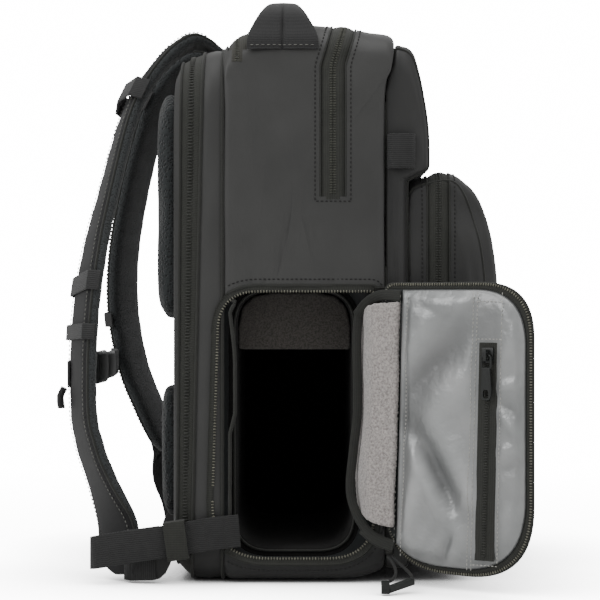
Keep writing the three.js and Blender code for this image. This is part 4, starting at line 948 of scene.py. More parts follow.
# %% [markdown]
# A seam between two panels is covered by binding tape with a cord inside, called piping. It stands a little
# proud and catches the light, so it draws the bag's outline. Here it is a thin tube that lands on the cloth.

# %% Piping and seams
SEAM_OFF = ((-4.5, -4.5), (3, -4.5), (3, 4.5), (-4, 4.5))
SEAM_FROM = -58


def side_seam(name, form, cloth, share, lift, radius):
    for label, sign in SIDES:
        path = [cloth.from_side(x, z, sign, lift)[0] for x, z in side_ring(form, share, 14)]
        piping(f"{name}_{label}", path, radius)


side_seam("front_piping", FRONT, front_cloth, 0.2, -0.1, 1.1)
side_seam("pocket_piping", POCKET, pocket_cloth, 0.55, -0.2, 0.9)
binding_path = [main_cloth.from_side(x, z, -1, -0.2)[0] for x, z in outline(OPENING, 16, 10)]
piping("opening_binding", binding_path, 1.5)
seam_corners = [(x + dx, z + dz, bend + 4) for (x, z, bend), (dx, dz) in zip(OPENING, SEAM_OFF)]
seam_view = [(x, z) for x, z in outline(seam_corners, 16, 10) if x > SEAM_FROM]
stitches("opening_stitches", *zip(*[main_cloth.from_side(x, z, -1, STITCH_LIFT) for x, z in seam_view]))
print("piping is on")

# %% [markdown]
# The thin rear compartment is built from four hoops of cloth. Each hoop is an outline in the plane of the
# back, at a depth that leans with the height. A wide gusset comes first, then the rear zip's tape and then
# the flat board that carries the pads.

# %% Rear compartment
REAR_STATIONS = {
    "seam": (402, 2, 142, -61, -61),
    "gusset": (400, 2, 141, -75, -84),
    "tape": (393, 12, 137, -92, -95),
    "board": (382, 30, 129, -98, -98),
}
REAR_ROUND = {"top": 52, "bottom": 26}


def rear_section(station, inset=0.0, slide=0.0):
    top, bottom, half, x_top, x_bottom = station
    corners = [
        (-half + inset, bottom + inset, REAR_ROUND["bottom"]),
        (half - inset, bottom + inset, REAR_ROUND["bottom"]),
        (half - inset, top - inset, REAR_ROUND["top"]),
        (-half + inset, top - inset, REAR_ROUND["top"]),
    ]
    flat = outline(corners, arc=14, straight=26)
    return [(x_bottom + (x_top - x_bottom) * z / MAIN_HEIGHT + slide, y, z) for y, z in flat]


def between(first, second, share):
    return tuple(a + (b - a) * share for a, b in zip(first, second))


def rear_hoop(name, start, end, material, node, bulge, slot, thick=2.0, steps=10):
    first, second = REAR_STATIONS[start], REAR_STATIONS[end]
    outer = []
    for share in np.linspace(0, 1, steps + 1):
        swell = bulge * math.sin(math.pi * share)
        ring = np.array(rear_section(between(first, second, share), -swell))
        waves = 0.35 * np.sin(ring[:, 2] / 11 + 4 * share) * np.sin(ring[:, 2] / 37)
        ring[:, 1] += np.sign(ring[:, 1]) * (waves * math.sin(math.pi * share))
        outer.append(ring)
    inner = [np.array(rear_section(between(first, second, share), thick)) for share in np.linspace(1, 0, 3)]
    hoop = lofted(name, outer + inner, material, capped=False, looped=True, slot=slot, angle=50)
    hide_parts(node)


rear_hoop("rear_gusset_cloth", "seam", "gusset", GUSSET_CLOTH, "rear_gusset", 1.0, "coated_fabric")
rear_hoop("rear_zip_tape", "gusset", "tape", TAPE, "rear_zip", 0.5, "zip_tape")

BOARD_MIDDLE = 206
board_rings = []
for share in np.linspace(0, 1, 8):
    station = between(REAR_STATIONS["tape"], REAR_STATIONS["board"], share)
    board_rings.append(rear_section(station, -0.6 * math.sin(math.pi * share)))
face = np.array(board_rings[-1])
face_middle = np.array([face[0, 0], 0, BOARD_MIDDLE])
for share in (0.9, 0.7, 0.5, 0.3, 0.1):
    board_rings.append(face_middle + (face - face_middle) * share + np.array([-0.4 * (1 - share), 0, 0]))
board = lofted("back_board_cloth", board_rings, GUSSET_CLOTH, slot="coated_fabric", angle=50)
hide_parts("back_board")

for label, radius in (("seam", 1.6), ("gusset", 1.3), ("tape", 1.2)):
    piping(f"rear_piping_{label}", rear_section(REAR_STATIONS[label], -0.4), radius)

COIL_LOW_END = 16
coil_station = between(REAR_STATIONS["gusset"], REAR_STATIONS["tape"], 0.5)
coil_path = np.array([p for p in rear_section(coil_station, -0.9) if p[2] > COIL_LOW_END])
coil_out = coil_path - np.array([0, 0, 200])
coil_out[:, 0] = 0
repeat("rear_zip_coil", coil_path, coil_out, 2.4, (1.4, 5.0, 1.6), COIL)
print("rear compartment is on")

# %% [markdown]
# Back pads are foam under spacer mesh, sewn down at their rim, so they swell in the middle. Cloth simulation
# makes that swell. The solid is remeshed to small squares, its cloth is blown up by a slight pressure, and
# each point's travel is capped so that the pad keeps its place.

# %% Swollen pads
PRESSURE = 4
SWELL_FRAMES = 20
VOXEL = 5
SWELL_CAP = 3
SHRINK = 0.97


def swollen_copy(node, name):
    mesh, work = opened_copy(node, PAD_MESH)
    middle = sum((v.co for v in work.verts), Vector()) / len(work.verts)
    for vertex in work.verts:
        vertex.co = middle + (vertex.co - middle) * SHRINK
    work.to_mesh(mesh)
    work.free()
    piece = piece_of(name, mesh)
    remesh = piece.modifiers.new("squares", "REMESH")
    remesh.mode = "VOXEL"
    remesh.voxel_size = VOXEL * MM
    settle(piece)
    start = np.array([v.co[:] for v in piece.data.vertices])
    cloth = piece.modifiers.new("cloth", "CLOTH")
    cloth.settings.use_pressure = True
    cloth.settings.uniform_pressure_force = PRESSURE
    cloth.settings.effector_weights.gravity = 0
    cloth.settings.quality = 5
    cloth.point_cache.frame_start = 1
    cloth.point_cache.frame_end = SWELL_FRAMES
    for frame_number in range(1, SWELL_FRAMES + 1):
        scene.frame_set(frame_number)
    settle(piece)
    scene.frame_set(1)
    travel = np.array([v.co[:] for v in piece.data.vertices]) - start
    reach = np.linalg.norm(travel, axis=1)
    held = travel * np.minimum(1, SWELL_CAP * MM / np.maximum(reach, 1e-9))[:, None]
    piece.data.vertices.foreach_set("co", (start + held).reshape(-1))
    finer = piece.modifiers.new("finer", "SUBSURF")
    finer.levels = finer.render_levels = 1
    settle(piece)
    piece.data.materials.clear()
    piece.data.materials.append(PAD_MESH)
    shade(piece.data, 180)
    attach(piece, BODY)
    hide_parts(node)
    print(name, "points:", len(piece.data.vertices))


for node in ("back_pad_upper_near", "back_pad_upper_far", "back_pad_lower"):
    swollen_copy(node, node + "_mesh")

# %% [markdown]
# A shoulder strap is a curved foam pad. Its outer face is coated nylon, its edge and inner face are spacer
# mesh, and piping covers the seam between them. The strap follows a table of places from the top of the back
# to the base, with its width, thickness and turn at each.

# %% Shoulder straps
NEAR_STRAP = [
    (-64, -51, 404.3, 46, 5, 3), (-78, -52, 413, 50, 8, 4), (-90, -53, 414, 56, 11, 6),
    (-108, -55, 401, 62, 12, 8),
    (-126, -60, 377, 62, 12, 10), (-138, -68, 349, 62, 12, 11), (-151, -80, 296, 62, 12, 13),
    (-161, -90, 250, 62, 12, 16), (-168, -98, 194, 62, 12, 18), (-169, -100, 130, 62, 12, 18),
    (-164, -101, 100, 62, 12, 20), (-154, -104, 72, 58, 12, 23), (-144, -111, 46, 52, 11, 32),
    (-138, -121, 25, 38, 9, 48), (-136, -127, 11, 28, 7, 58), (-136, -129, 5, 14, 5, 60),
]
FAR_STRAP = [
    (-64, 51, 404.3, 46, 5, -3), (-78, 52, 413, 50, 8, -4), (-90, 53, 414, 56, 11, -6),
    (-106, 55, 402, 62, 12, -8),
    (-122, 62, 378, 62, 12, -10), (-132, 70, 352, 62, 12, -11), (-145, 82, 303, 62, 12, -12),
    (-154, 92, 254, 62, 12, -13), (-156, 98, 212, 62, 12, -14), (-152, 102, 176, 62, 12, -14),
    (-145, 105, 147, 62, 12, -14), (-134, 108, 119, 60, 12, -14), (-125, 111, 96, 50, 10, -14),
    (-120, 113, 84, 30, 7, -14),
]
STRAP_SIDES = 32
SEAM_POINT = 2


def strap_frames(table, spacing=4):
    """Rows along the strap: place, across, out of its outer face, half width and half thickness."""
    rows = smooth_path(table, spacing)
    places = rows[:, :3]
    along = tangents(places)
    turn = np.radians(rows[:, 5])
    across = np.stack([np.sin(turn), -np.cos(turn), np.zeros(len(turn))], axis=1)
    out = np.cross(along, across)
    out /= np.linalg.norm(out, axis=1)[:, None]
    side = np.cross(out, along)
    return places, side, out, rows[:, 3] / 2, rows[:, 4] / 2


def padded_section(count):
    """A flat pad's section, with steep edges and a rounded face on each side."""
    turns = np.arange(count) * 2 * math.pi / count
    across = np.sign(np.cos(turns)) * np.abs(np.cos(turns)) ** 0.42
    out = np.sign(np.sin(turns)) * np.abs(np.sin(turns)) ** 0.75
    return list(zip(across, out))


def shoulder_strap(label, table, node):
    places, side, out, half, thick = strap_frames(table)
    section = padded_section(STRAP_SIDES)
    rings = []
    for i in range(len(places)):
        pinch = 1 + 0.03 * math.sin(i * 1.1) + 0.02 * math.sin(i * 2.7)
        rings.append([places[i] + s * half[i] * side[i] + n * thick[i] * pinch * out[i] for s, n in section])
    pad = lofted(f"strap_pad_{label}", rings, EDGE_MESH, slot="pad_mesh", angle=60)
    pad.data.materials.append(STRAP_CLOTH)
    for row in range(len(places) - 1):
        for j in range(SEAM_POINT, STRAP_SIDES // 2 - SEAM_POINT):
            pad.data.polygons[STRAP_SIDES * row + j].material_index = 1
    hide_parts(node)
    for edge, j in (("front", SEAM_POINT), ("back", STRAP_SIDES // 2 - SEAM_POINT)):
        s, n = section[j]
        path = places + (s * half)[:, None] * side + (n * thick)[:, None] * out
        piping(f"strap_piping_{label}_{edge}", path[2:-3], 1.1, False, "coated_fabric")
        inner = places + ((s * half - math.copysign(4.5, s)))[:, None] * side + (thick * 0.97)[:, None] * out
        stitches(f"strap_stitches_{label}_{edge}", inner[4:-5], out[4:-5], material=GREY_THREAD)
    print(node, "rows:", len(places))


shoulder_strap("near", NEAR_STRAP, "strap_near")
shoulder_strap("far", FAR_STRAP, "strap_far")

# %% [markdown]
# Webbing bands are carried over from the solids, because their widths and folds are already right. They are
# given round edges and a UV map laid along the band: each face's map runs along the band's own direction, so
# the ribs follow it over a fold.

# %% Bands of webbing
def map_along(piece, direction):
    """UVs in millimetres, U along a direction laid in each face and V across it."""
    mesh = piece.data
    layer = mesh.uv_layers.active or mesh.uv_layers.new(name="UVMap")
    guide = Vector(direction).normalized()
    for polygon in mesh.polygons:
        normal = polygon.normal
        along = guide - normal * guide.dot(normal)
        if along.length < 0.05:
            along = normal.orthogonal()
        along.normalize()
        across = normal.cross(along)
        for loop in polygon.loop_indices:
            place = mesh.vertices[mesh.loops[loop].vertex_index].co / MM
            layer.data[loop].uv = (place.dot(along), place.dot(across))


def band_copy(node, direction, material=BELT_WEB, slot="webbing"):
    piece = rounded_copy(node, material, 0.6, slot)
    map_along(piece, direction)


BANDS = [
    ("strap_loop_near", (1, -1, 0)), ("strap_patch_near", (1, -1, 0)), ("strap_band_near", (1, -1, 0)),
    ("strap_loop_far", (1, 1, 0)), ("strap_band_far", (1, 1, 0)), ("strap_webbing_near", (0, 0, 1)),
    ("strap_webbing_far", (0, 0, 1)), ("sternum_webbing_near", (0, 1, 0)), ("sternum_webbing_far", (0, 1, 0)),
    ("sternum_tail", (0, 0, 1)), ("side_loop_near", (1, 0, 0)), ("side_loop_far", (1, 0, 0)),
    ("waist_belt", (1, 0, 0.09)),
]
for node, direction in BANDS:
    band_copy(node, direction)
band_copy("belt_keeper", (1, 0, 0), TAPE, slot="zip_tape")
for side in ("near", "far"):
    rounded_copy(f"anchor_wing_{side}", GUSSET_CLOTH, 1.2, "coated_fabric")
print("bands:", len(BANDS))

# %% [markdown]
# The top handle is a band of webbing folded round a soft core in the middle and sewn flat at both ends. It is
# lofted from a table of its half, given from the side panel to the middle: how far out, how high, how wide
# and how thick. A dashed seam runs across each end where the folded halves are sewn.

# %% Top handle
HANDLE_X = -16
HANDLE_REACH = 143
HANDLE_RISE = 18
HANDLE_SEAM = 25
SEAM_HEIGHT = 401
SLIT_DEPTH = 2.2
SLIT_POINTS = (0.12, 0.06, 0.03, 0, -0.03, -0.06, -0.12)
HANDLE_HALF = [
    (1.007, -1.22, 53, 2), (0.99, -0.767, 53, 2), (0.95, -0.3, 48, 2.6), (0.881, 0.333, 36, 5),
    (0.755, 0.722, 27, 7), (0.49, 0.944, 27, 7), (0, 1, 27, 7),
]

near_half = []
for side, rise, wide, thick in HANDLE_HALF:
    near_half.append((HANDLE_X, -side * HANDLE_REACH, MAIN_HEIGHT + rise * HANDLE_RISE, wide, thick))
far_half = [(x, -y, z, wide, thick) for x, y, z, wide, thick in near_half[::-1][1:]]
rows = smooth_path(near_half + far_half, 3)
along = tangents(rows[:, :3])
out = np.cross(np.tile((1.0, 0, 0), (len(rows), 1)), along)
out /= np.linalg.norm(out, axis=1)[:, None]
section = [(s, 1.0) for s in SLIT_POINTS] + [(s, n) for s, n in padded_section(28) if n <= 0 or abs(s) > 0.2]
section.sort(key=lambda p: math.atan2(p[1], p[0]) % (2 * math.pi))
rings = []
for row, normal in zip(rows, out):
    wide, thick = row[3:]
    fold = min(1, max(0, (abs(row[1]) / HANDLE_REACH - 0.8) / 0.12))
    ring = []
    for s, n in section:
        slit = fold * SLIT_DEPTH * math.exp(-((s / 0.05) ** 2)) * (n > 0)
        sag = 0.12 * thick * (1 - s * s) - slit
        ring.append(row[:3] + np.array([s * wide / 2, 0, 0]) + normal * (n * thick / 2 + sag))
    rings.append(ring)
handle = lofted("top_handle_web", rings, HANDLE_WEB, slot="webbing", angle=60)
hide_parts("top_handle")
handle_face = BVHTree.FromObject(handle, bpy.context.evaluated_depsgraph_get())
for label, sign in SIDES:
    seam = []
    for x in np.arange(HANDLE_X - HANDLE_SEAM, HANDLE_X + HANDLE_SEAM, 1.5):
        start = Vector((x, sign * 200, SEAM_HEIGHT)) * MM
        place, normal, _, _ = handle_face.ray_cast(start, Vector((0, -sign, 0)))
        if place is not None:
            seam.append((np.array(place) / MM + 0.2 * np.array(normal), np.array(normal)))
    stitches(f"handle_stitches_{label}", *zip(*seam), 4.2, (2.8, 0.8, 0.7), GREY_THREAD, "webbing")
print("handle rows:", len(rows))

# %% [markdown]
# The opening's rim is a coil zip sewn round the hole. Behind it a funnel of dark cloth leads to the padded
# insert. The coil's teeth are small beads along the rim, and the insert's walls are foam under fleece.

# %% Opening rim, funnel and insert
INSERT = [(-57.8, 5.2, 30), (43.2, 5.2, 30), (43.2, 224, 30), (-57.8, 224, 30)]
CAVITY = [(-50.8, 24, 26), (36.2, 24, 26), (36.2, 217, 26), (-50.8, 217, 26)]
INSERT_LIP = [(INSERT, 0, 3), (INSERT, 1, 0.9), (INSERT, 3, 0), (CAVITY, -3, 0), (CAVITY, -1, 0.9)]
Y_INSERT_BACK = 125
Y_CUT = -144.2
Y_FUNNEL = -141.2
RIM_PROFILE = [(0.0, -0.4), (0.6, 0.2), (2.2, 0.1), (4.3, 0.0), (5.0, 0.9), (5.0, 2.6), (0.0, 2.6)]


def inset(corners, by):
    """Corners moved towards their middle, or away from it where by is below zero."""
    x_middle, z_middle = (np.mean([corner[axis] for corner in corners]) for axis in (0, 1))
    moved = []
    for x, z, bend in corners:
        moved.append((x + by * np.sign(x_middle - x), z + by * np.sign(z_middle - z), max(bend - by, 1)))
    return moved


def mixed_ring(first, second, share, y):
    a, b = (outline(corners, 14, 16) for corners in (first, second))
    return np.array([(x, y, z) for x, z in a + (b - a) * share])


def upright_ring(corners, y):
    return mixed_ring(corners, corners, 0, y)


insert_rings = [upright_ring(INSERT, Y_INSERT_BACK)]
insert_rings += [upright_ring(inset(corners, by), Y_INSERT + deep) for corners, by, deep in INSERT_LIP]
insert_rings += [upright_ring(CAVITY, y) for y in np.linspace(Y_INSERT + 3, Y_INSERT_BACK - 7, 14)]
# The walls wear the darker copy of the fleece: painted shade.
insert = lofted("insert_fleece", insert_rings, SHADED_FLEECE, slot="fleece_dark", angle=50)
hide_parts("camera_insert")

funnel = []
for share in np.linspace(0, 1, 12):
    y = Y_FUNNEL + (Y_INSERT - 0.6 - Y_FUNNEL) * share
    ring = mixed_ring(inset(OPENING, 5.2), inset(CAVITY, -6), share, y)
    pleats = np.sin(ring[:, 2] / 3.1 + 2 * np.sin(ring[:, 0] / 7)) * np.sin(ring[:, 2] / 17 + 1)
    ring[:, 1] += 0.9 * math.sin(math.pi * share) * pleats
    funnel.append(ring)
back = [ring + np.array([0, 1.2, 0]) for ring in funnel[::-1]]
sleeve = lofted("opening_funnel", funnel + back, FUNNEL_CLOTH, looped=True, slot="lining_nylon", angle=60)
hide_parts("opening_lining")

rim_rings = [upright_ring(inset(OPENING, by), Y_CUT + deep) for by, deep in RIM_PROFILE]
rim_zip = lofted("opening_zip_tape", rim_rings, TAPE, looped=True, slot="zip_tape", angle=50)
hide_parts("opening_zip")
# The divider wears the lighter copy of the fleece: painted light.
rounded_copy("divider_pad", LIT_DIVIDER_FLEECE, 2.5, "fleece_dark", 4)
piping("insert_piping", upright_ring(inset(CAVITY, -1.5), Y_INSERT - 0.6), 0.9)

rim_path = np.array([(x, Y_CUT - 0.2, z) for x, z in outline(inset(OPENING, 4.6), 16, 12)])
rim_out = np.tile((0.0, -1.0, 0.0), (len(rim_path), 1))
turns = repeat("opening_coil", rim_path, rim_out, 2.2, (1.1, 2.4, 1.4), RIM_COIL)
print("opening coil turns:", turns)

# %% [markdown]
# The door is a padded panel with its own coil zip round it and a nylon pocket inside. Its outline is drawn
# flat, in the door's own frame, and every point is then swung open about the hinge.

# %% Door panel and zip
DOOR_TOP, DOOR_LOW, DOOR_WIDTH, DOOR_ZIP = 224, 10, 126, 5
DOOR_EDGE = 4.5
DOOR_ZIP_PROFILE = [
    (1.0, -6.4), (-0.6, -7.3), (-2.6, -7.0), (-4.6, -6.4), (-5, -5.6), (-4.8, -4.0), (1.0, -3.8),
]
COIL_FROM = 4.5


def door_outline(inset_by, low=None, high=None, arc=16, straight=16):
    low = inset_by if low is None else low
    high = inset_by if high is None else high
    right, top = DOOR_WIDTH - DOOR_ZIP, DOOR_TOP - DOOR_ZIP
    return outline(
        [
            (3 + low, DOOR_LOW + 8 + inset_by, 50), (right - inset_by, DOOR_LOW + DOOR_ZIP + inset_by, 54),
            (right - inset_by, top - inset_by, 40), (3 + high, top - inset_by, 8),
        ],
        arc, straight,
    )


def on_door_ring(flat, y):
    depths = y if np.ndim(y) else np.full(len(flat), y)
    return [on_door(x, depth, z) for (x, z), depth in zip(flat, depths)]


door_rings = [on_door_ring(door_outline(0.6), -7.9), on_door_ring(door_outline(0), -7.4)]
for turn in np.linspace(0, math.pi / 2, 6):
    flat = door_outline(DOOR_EDGE * (1 - math.cos(turn)))
    door_rings.append(on_door_ring(flat, -DOOR_EDGE + DOOR_EDGE * math.sin(turn)))
face = np.array(door_rings[-1])
middle = face.mean(axis=0)
for share in (0.92, 0.75, 0.55, 0.35, 0.15):
    door_rings.append(middle + (face - middle) * share)
door = lofted("door_cloth", door_rings, PANEL_CLOTH, slot="coated_fabric", angle=50)
door.data.materials.append(FUNNEL_CLOTH)
door_face = np.array(on_door(0, -1, 0)) - np.array(on_door(0, 0, 0))
for polygon in door.data.polygons:
    polygon.material_index = int(np.dot(polygon.normal, door_face) > 0.7)
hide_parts("door_panel")

zip_rings = [on_door_ring(door_outline(inset_by, 0.3, 0.3), y) for inset_by, y in DOOR_ZIP_PROFILE]
door_zip = lofted("door_zip_tape", zip_rings, TAPE, looped=True, slot="zip_tape")
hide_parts("door_zip")
coil_flat = door_outline(-3.4, 2.5, 2.5)
coil_flat = np.roll(coil_flat, -int(np.argmin(coil_flat[:, 0] > COIL_FROM)), axis=0)
coil_path = on_door_ring(coil_flat[coil_flat[:, 0] > COIL_FROM], -7.4)
turns = repeat("door_coil", coil_path, np.tile(door_face, (len(coil_path), 1)), 2.0, (1.1, 2.2, 1.5), RIM_COIL)
print("door coil turns:", turns)

# %% [markdown]
# The pocket's lining is one sheet of taffeta, hemmed on the hinge side and caught in the zip round the
# rest. It bulges where the pocket is full and creases slantwise from its corners. Rings of the door's
# outline shrink to the middle, and every point is then pushed by a sum of long creases.

# %% Door lining
LINING_LOW = -8.3
LINING_MARGIN = 0.4
HEM_TOP, HEM_LOW = 20.6, 14.1
BULGE = 1.8
CREASES = [
    (51, 86, -50, 34, 3.4, -5.0), (40, 84, -52, 40, 3.6, 2.6), (66, 96, -50, 40, 4.5, 2.4),
    (50, 166, 53, 36, 5.5, -4.2), (66, 148, 54, 34, 5, 2.0), (36, 186, 66, 34, 4, 2.0),
    (30, 122, 88, 26, 4.5, -2.6), (28, 60, 88, 40, 2.6, 1.8), (22, 76, 88, 34, 1.6, -1.2),
    (108, 150, 22, 11, 1.7, 1.9), (109, 134, -20, 11, 1.6, -1.6), (110, 122, -32, 12, 1.8, 1.8),
    (108, 104, 24, 11, 1.7, 1.7), (110, 92, 34, 10, 1.6, -1.4), (109, 60, 32, 11, 2.2, 1.4),
    (112, 182, 72, 24, 2.2, 1.3), (66, 206, 58, 15, 2.0, 1.6), (60, 200, 60, 15, 1.5, -1.4),
    (40, 206, -10, 18, 2.0, -1.2), (64, 30, 74, 15, 1.8, 1.8), (57, 28, 76, 12, 1.4, -1.4),
    (46, 30, 62, 12, 1.7, 1.4), (36, 36, 70, 14, 1.9, 1.5), (71, 60, 80, 24, 2.4, 1.4),
]


def crease_at(x, z):
    """How far the lining stands off the door there, from long creases (x, z, turn, reach, width, height)."""
    total = 0.0
    for cx, cz, turn, reach, wide, high in CREASES:
        angle = math.radians(turn)
        along = (x - cx) * math.cos(angle) + (z - cz) * math.sin(angle)
        over = (z - cz) * math.cos(angle) - (x - cx) * math.sin(angle)
        over += 3.5 * math.sin(along / 19)
        total += high * math.exp(-((along / reach) ** 2) - (over / (2.2 * wide)) ** 2)
    free = 1 - 0.95 * math.exp(-(((x - 91) / 11) ** 4))
    hem = -1.6 * math.exp(-(((x - hem_x(z) - 6.5) / 2.2) ** 2))
    return (total + BULGE) * free + hem


def hem_x(z):
    """The hem's place on the door at a height: it leans to the hinge at its foot."""
    return HEM_LOW + (HEM_TOP - HEM_LOW) * (z - DOOR_LOW) / (DOOR_TOP - DOOR_LOW)


def lining_outline():
    ring = door_outline(LINING_MARGIN, 0, 0, 18, 30)
    inside = ring[:, 0] > hem_x(ring[:, 1]) + 0.5
    first = next(i for i in range(len(ring)) if inside[i] and not inside[i - 1])
    kept = np.roll(ring, -first, axis=0)[: inside.sum()]
    hem = [(hem_x(z), z) for z in np.linspace(kept[-1][1], kept[0][1], 50)]
    return np.vstack([kept, hem])


LINING_RIM = [(1, -0.6), (0.99, 0.5), (0.97, 1.3), (0.945, 2.1), (0.915, 2.7), (0.88, 3.0)]
LINING_CENTRE = np.array([68.0, 118.0])


def lining_rings():
    flat = lining_outline()
    rings = []
    for share, dome in LINING_RIM + [(s, 3.0) for s in np.linspace(0.86, 0.01, 64)]:
        ring = LINING_CENTRE + (flat - LINING_CENTRE) * share
        calm = min(1, (1 - share) / 0.07)
        depths = [LINING_LOW - dome - calm * crease_at(x, z) for x, z in ring]
        rings.append(on_door_ring(ring, np.array(depths)))
    return rings


lining = lofted("door_pocket_lining", lining_rings(), POCKET_LINING, slot="lining_nylon", angle=180)
mesh_uvs = lining.data.uv_layers.active.data
# The fold attribute is painted shade in the lining's valleys and painted highlight on its crests, from the
# crease heights.
fold = lining.data.attributes.new("fold", "FLOAT", "POINT")
for vertex in lining.data.vertices:
    place = vertex.co / MM
    x = (place.x - DOOR_HINGE[0] + 6) / math.cos(DOOR_OPEN)
    fold.data[vertex.index].value = min(0.6, max(-1, (crease_at(x, place.z) - BULGE) / 4))
for loop in lining.data.loops:
    place = lining.data.vertices[loop.vertex_index].co / MM
    mesh_uvs[loop.index].uv = ((place.x - DOOR_HINGE[0]) / math.cos(DOOR_OPEN), place.z)
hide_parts("door_lining")


def lining_face(x, z, off=0.0):
    return on_door(x, LINING_LOW - 3.0 - crease_at(x, z) - off, z)


def lining_seam(name, start, end, material=GREY_THREAD, spacing=3.0, size=(2.1, 0.7, 0.6)):
    flat = [np.array(start) + (np.array(end) - np.array(start)) * t for t in np.linspace(0, 1, 60)]
    path = [lining_face(x, z, 0.1) for x, z in flat]
    stitches(name, path, np.tile(door_face, (len(path), 1)), spacing, size, material, "lining_nylon")


lining_seam("lining_hem_stitches", (hem_x(214) + 6, 214), (hem_x(24) + 6, 24), PALE_THREAD)
lining_seam("lining_hem_edge", (hem_x(216) + 0.8, 216), (hem_x(30) + 0.8, 30), GREY_THREAD, 4.5)
print("lining points:", len(lining.data.vertices))

# %% [markdown]
# The pocket zip lies in a slot of the lining, with rows of stitches at both sides, at both ends and across
# the flap above it. The tape is a flat band with a raised coil in the middle. Its slider has a ring and a
# flat tab with a hole, and swings on a pin.

# %% Pocket zip on the door
SLOT_X, SLOT_WIDTH, SLOT_LOW, SLOT_TOP, SLOT_LEAN = 81.52, 16, 24, 181, 4
ZIP_FACE = LINING_LOW - 2.4
ZIP_PROFILE = [
    (0.02, 1.6), (0.02, 0.35), (0.12, 0.0), (0.36, 0.15), (0.44, -0.55), (0.5, -0.2),
    (0.56, -0.55), (0.64, 0.15), (0.88, 0.0), (0.98, 0.35), (0.98, 1.6),
]
CHAIN_LOW, CHAIN_TOP = 27, 165
SEAM_ROWS = {"left": (-2.2, 17), "left_outer": (-5.2, 17), "right": (SLOT_WIDTH + 2.4, 22)}
SEAM_TOP = 217
CROSS_ROWS = (("top", 210, SLOT_LEAN + 0.8), ("flap", SLOT_TOP + 2, SLOT_LEAN), ("low", SLOT_LOW - 3, 0))


def slot_x(z, aside):
    """A place beside the slot's edge, which leans with the height."""
    return SLOT_X + SLOT_LEAN * (z - SLOT_LOW) / (SLOT_TOP - SLOT_LOW) + aside


rings = []
for z in np.linspace(SLOT_LOW + 0.5, SLOT_TOP - 0.5, 60):
    across = [(slot_x(z, share * SLOT_WIDTH), ZIP_FACE - 1.6 + depth) for share, depth in ZIP_PROFILE]
    rings.append([on_door(x, y, z) for x, y in across])
pocket_zip = lofted("door_pocket_zip_tape", rings, TAPE, slot="zip_tape", angle=50)
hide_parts("pocket_door_zip")
chain = [on_door(slot_x(z, 8), ZIP_FACE - 2.2, z) for z in np.linspace(CHAIN_LOW, CHAIN_TOP, 80)]
repeat("door_pocket_coil", chain, np.tile(door_face, (len(chain), 1)), 1.9, (1.2, 3.6, 1.3), COIL)
for label, (aside, low) in SEAM_ROWS.items():
    start, end = ((slot_x(z, aside), z) for z in (SEAM_TOP, low))
    lining_seam(f"pocket_seam_{label}", start, end, PALE_THREAD)
for label, z, shift in CROSS_ROWS:
    start, end = (SLOT_X - 2 + shift, z), (SLOT_X + SLOT_WIDTH + 2 + shift, z)
    lining_seam(f"pocket_seam_{label}", start, end, PALE_THREAD)
rounded_copy("pocket_slider", ACETAL, 0.8, "moulded_plastic")

# %% Puller
PIN_X, PIN_Y, PIN_Z = 93.12, -15.5, 171.5
TAB_HALF = [(3.4, 139.2, 3), (4.4, 145, 3), (3.2, 163.2, 2)]
TAB_MIDDLE = 151.0
TAB_PROFILE = [(0.86, -0.9), (0.97, -0.75), (1, -0.3), (1, 0.3), (0.97, 0.75), (0.86, 0.9)]
EYE_HALF = [(2.1, 140.8, 2), (2.1, 147, 2)]
RING_HALF = [(3.6, 161.8, 2.4), (3.6, PIN_Z, 2.4)]


def about_pin(half, arc, straight):
    """An outline from the corners of its right half, upwards, mirrored about the pin's middle."""
    (low_side, low_z, low_bend), *rest = half
    corners = [(PIN_X - low_side, low_z, low_bend)] + [(PIN_X + side, z, bend) for side, z, bend in half]
    corners += [(PIN_X - side, z, bend) for side, z, bend in rest[::-1]]
    return outline(corners, arc, straight)


def pull_tab():
    """The tab as a plate with softened faces, and its eye cut through."""
    plate = about_pin(TAB_HALF, 5, 2)
    middle = np.array([PIN_X, TAB_MIDDLE])
    rings = [on_door_ring(middle + (plate - middle) * share, PIN_Y + deep) for share, deep in TAB_PROFILE]
    tab = lofted("puller_tab", rings, ACETAL, slot="moulded_plastic", angle=50, body=None)
    eye = about_pin(EYE_HALF, 4, 2)
    punch = lofted("cutter", [on_door_ring(eye, PIN_Y - 4), on_door_ring(eye, PIN_Y + 4)], ACETAL, body=None)
    cut_by(tab, [punch])
    shade(tab.data, 40)
    return tab


tab = pull_tab()
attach(tab, "puller")
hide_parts("pocket_puller")
ring_path = on_door_ring(about_pin(RING_HALF, 6, 3), PIN_Y)
tube("puller_ring", ring_path, 0.85, ACETAL, sides=10, looped=True, slot="moulded_plastic", body="puller")
print("pocket zip is on")

# %% [markdown]
# The hinge is a folded strip of cloth under pale fleece, with a bound edge of olive tape at its side, top
# and foot. The fleece is remeshed to small squares, spread to meet the bindings and lifted, and then made
# lumpy by sums of waves.

# %% Hinge fleece, sliders, buckle and grip
FLEECE_VOXEL = 1.4
FLEECE_LUMPS, FLEECE_SWELLS = 0.35 * 0.9, 0.6
FLEECE_LIFT = 5


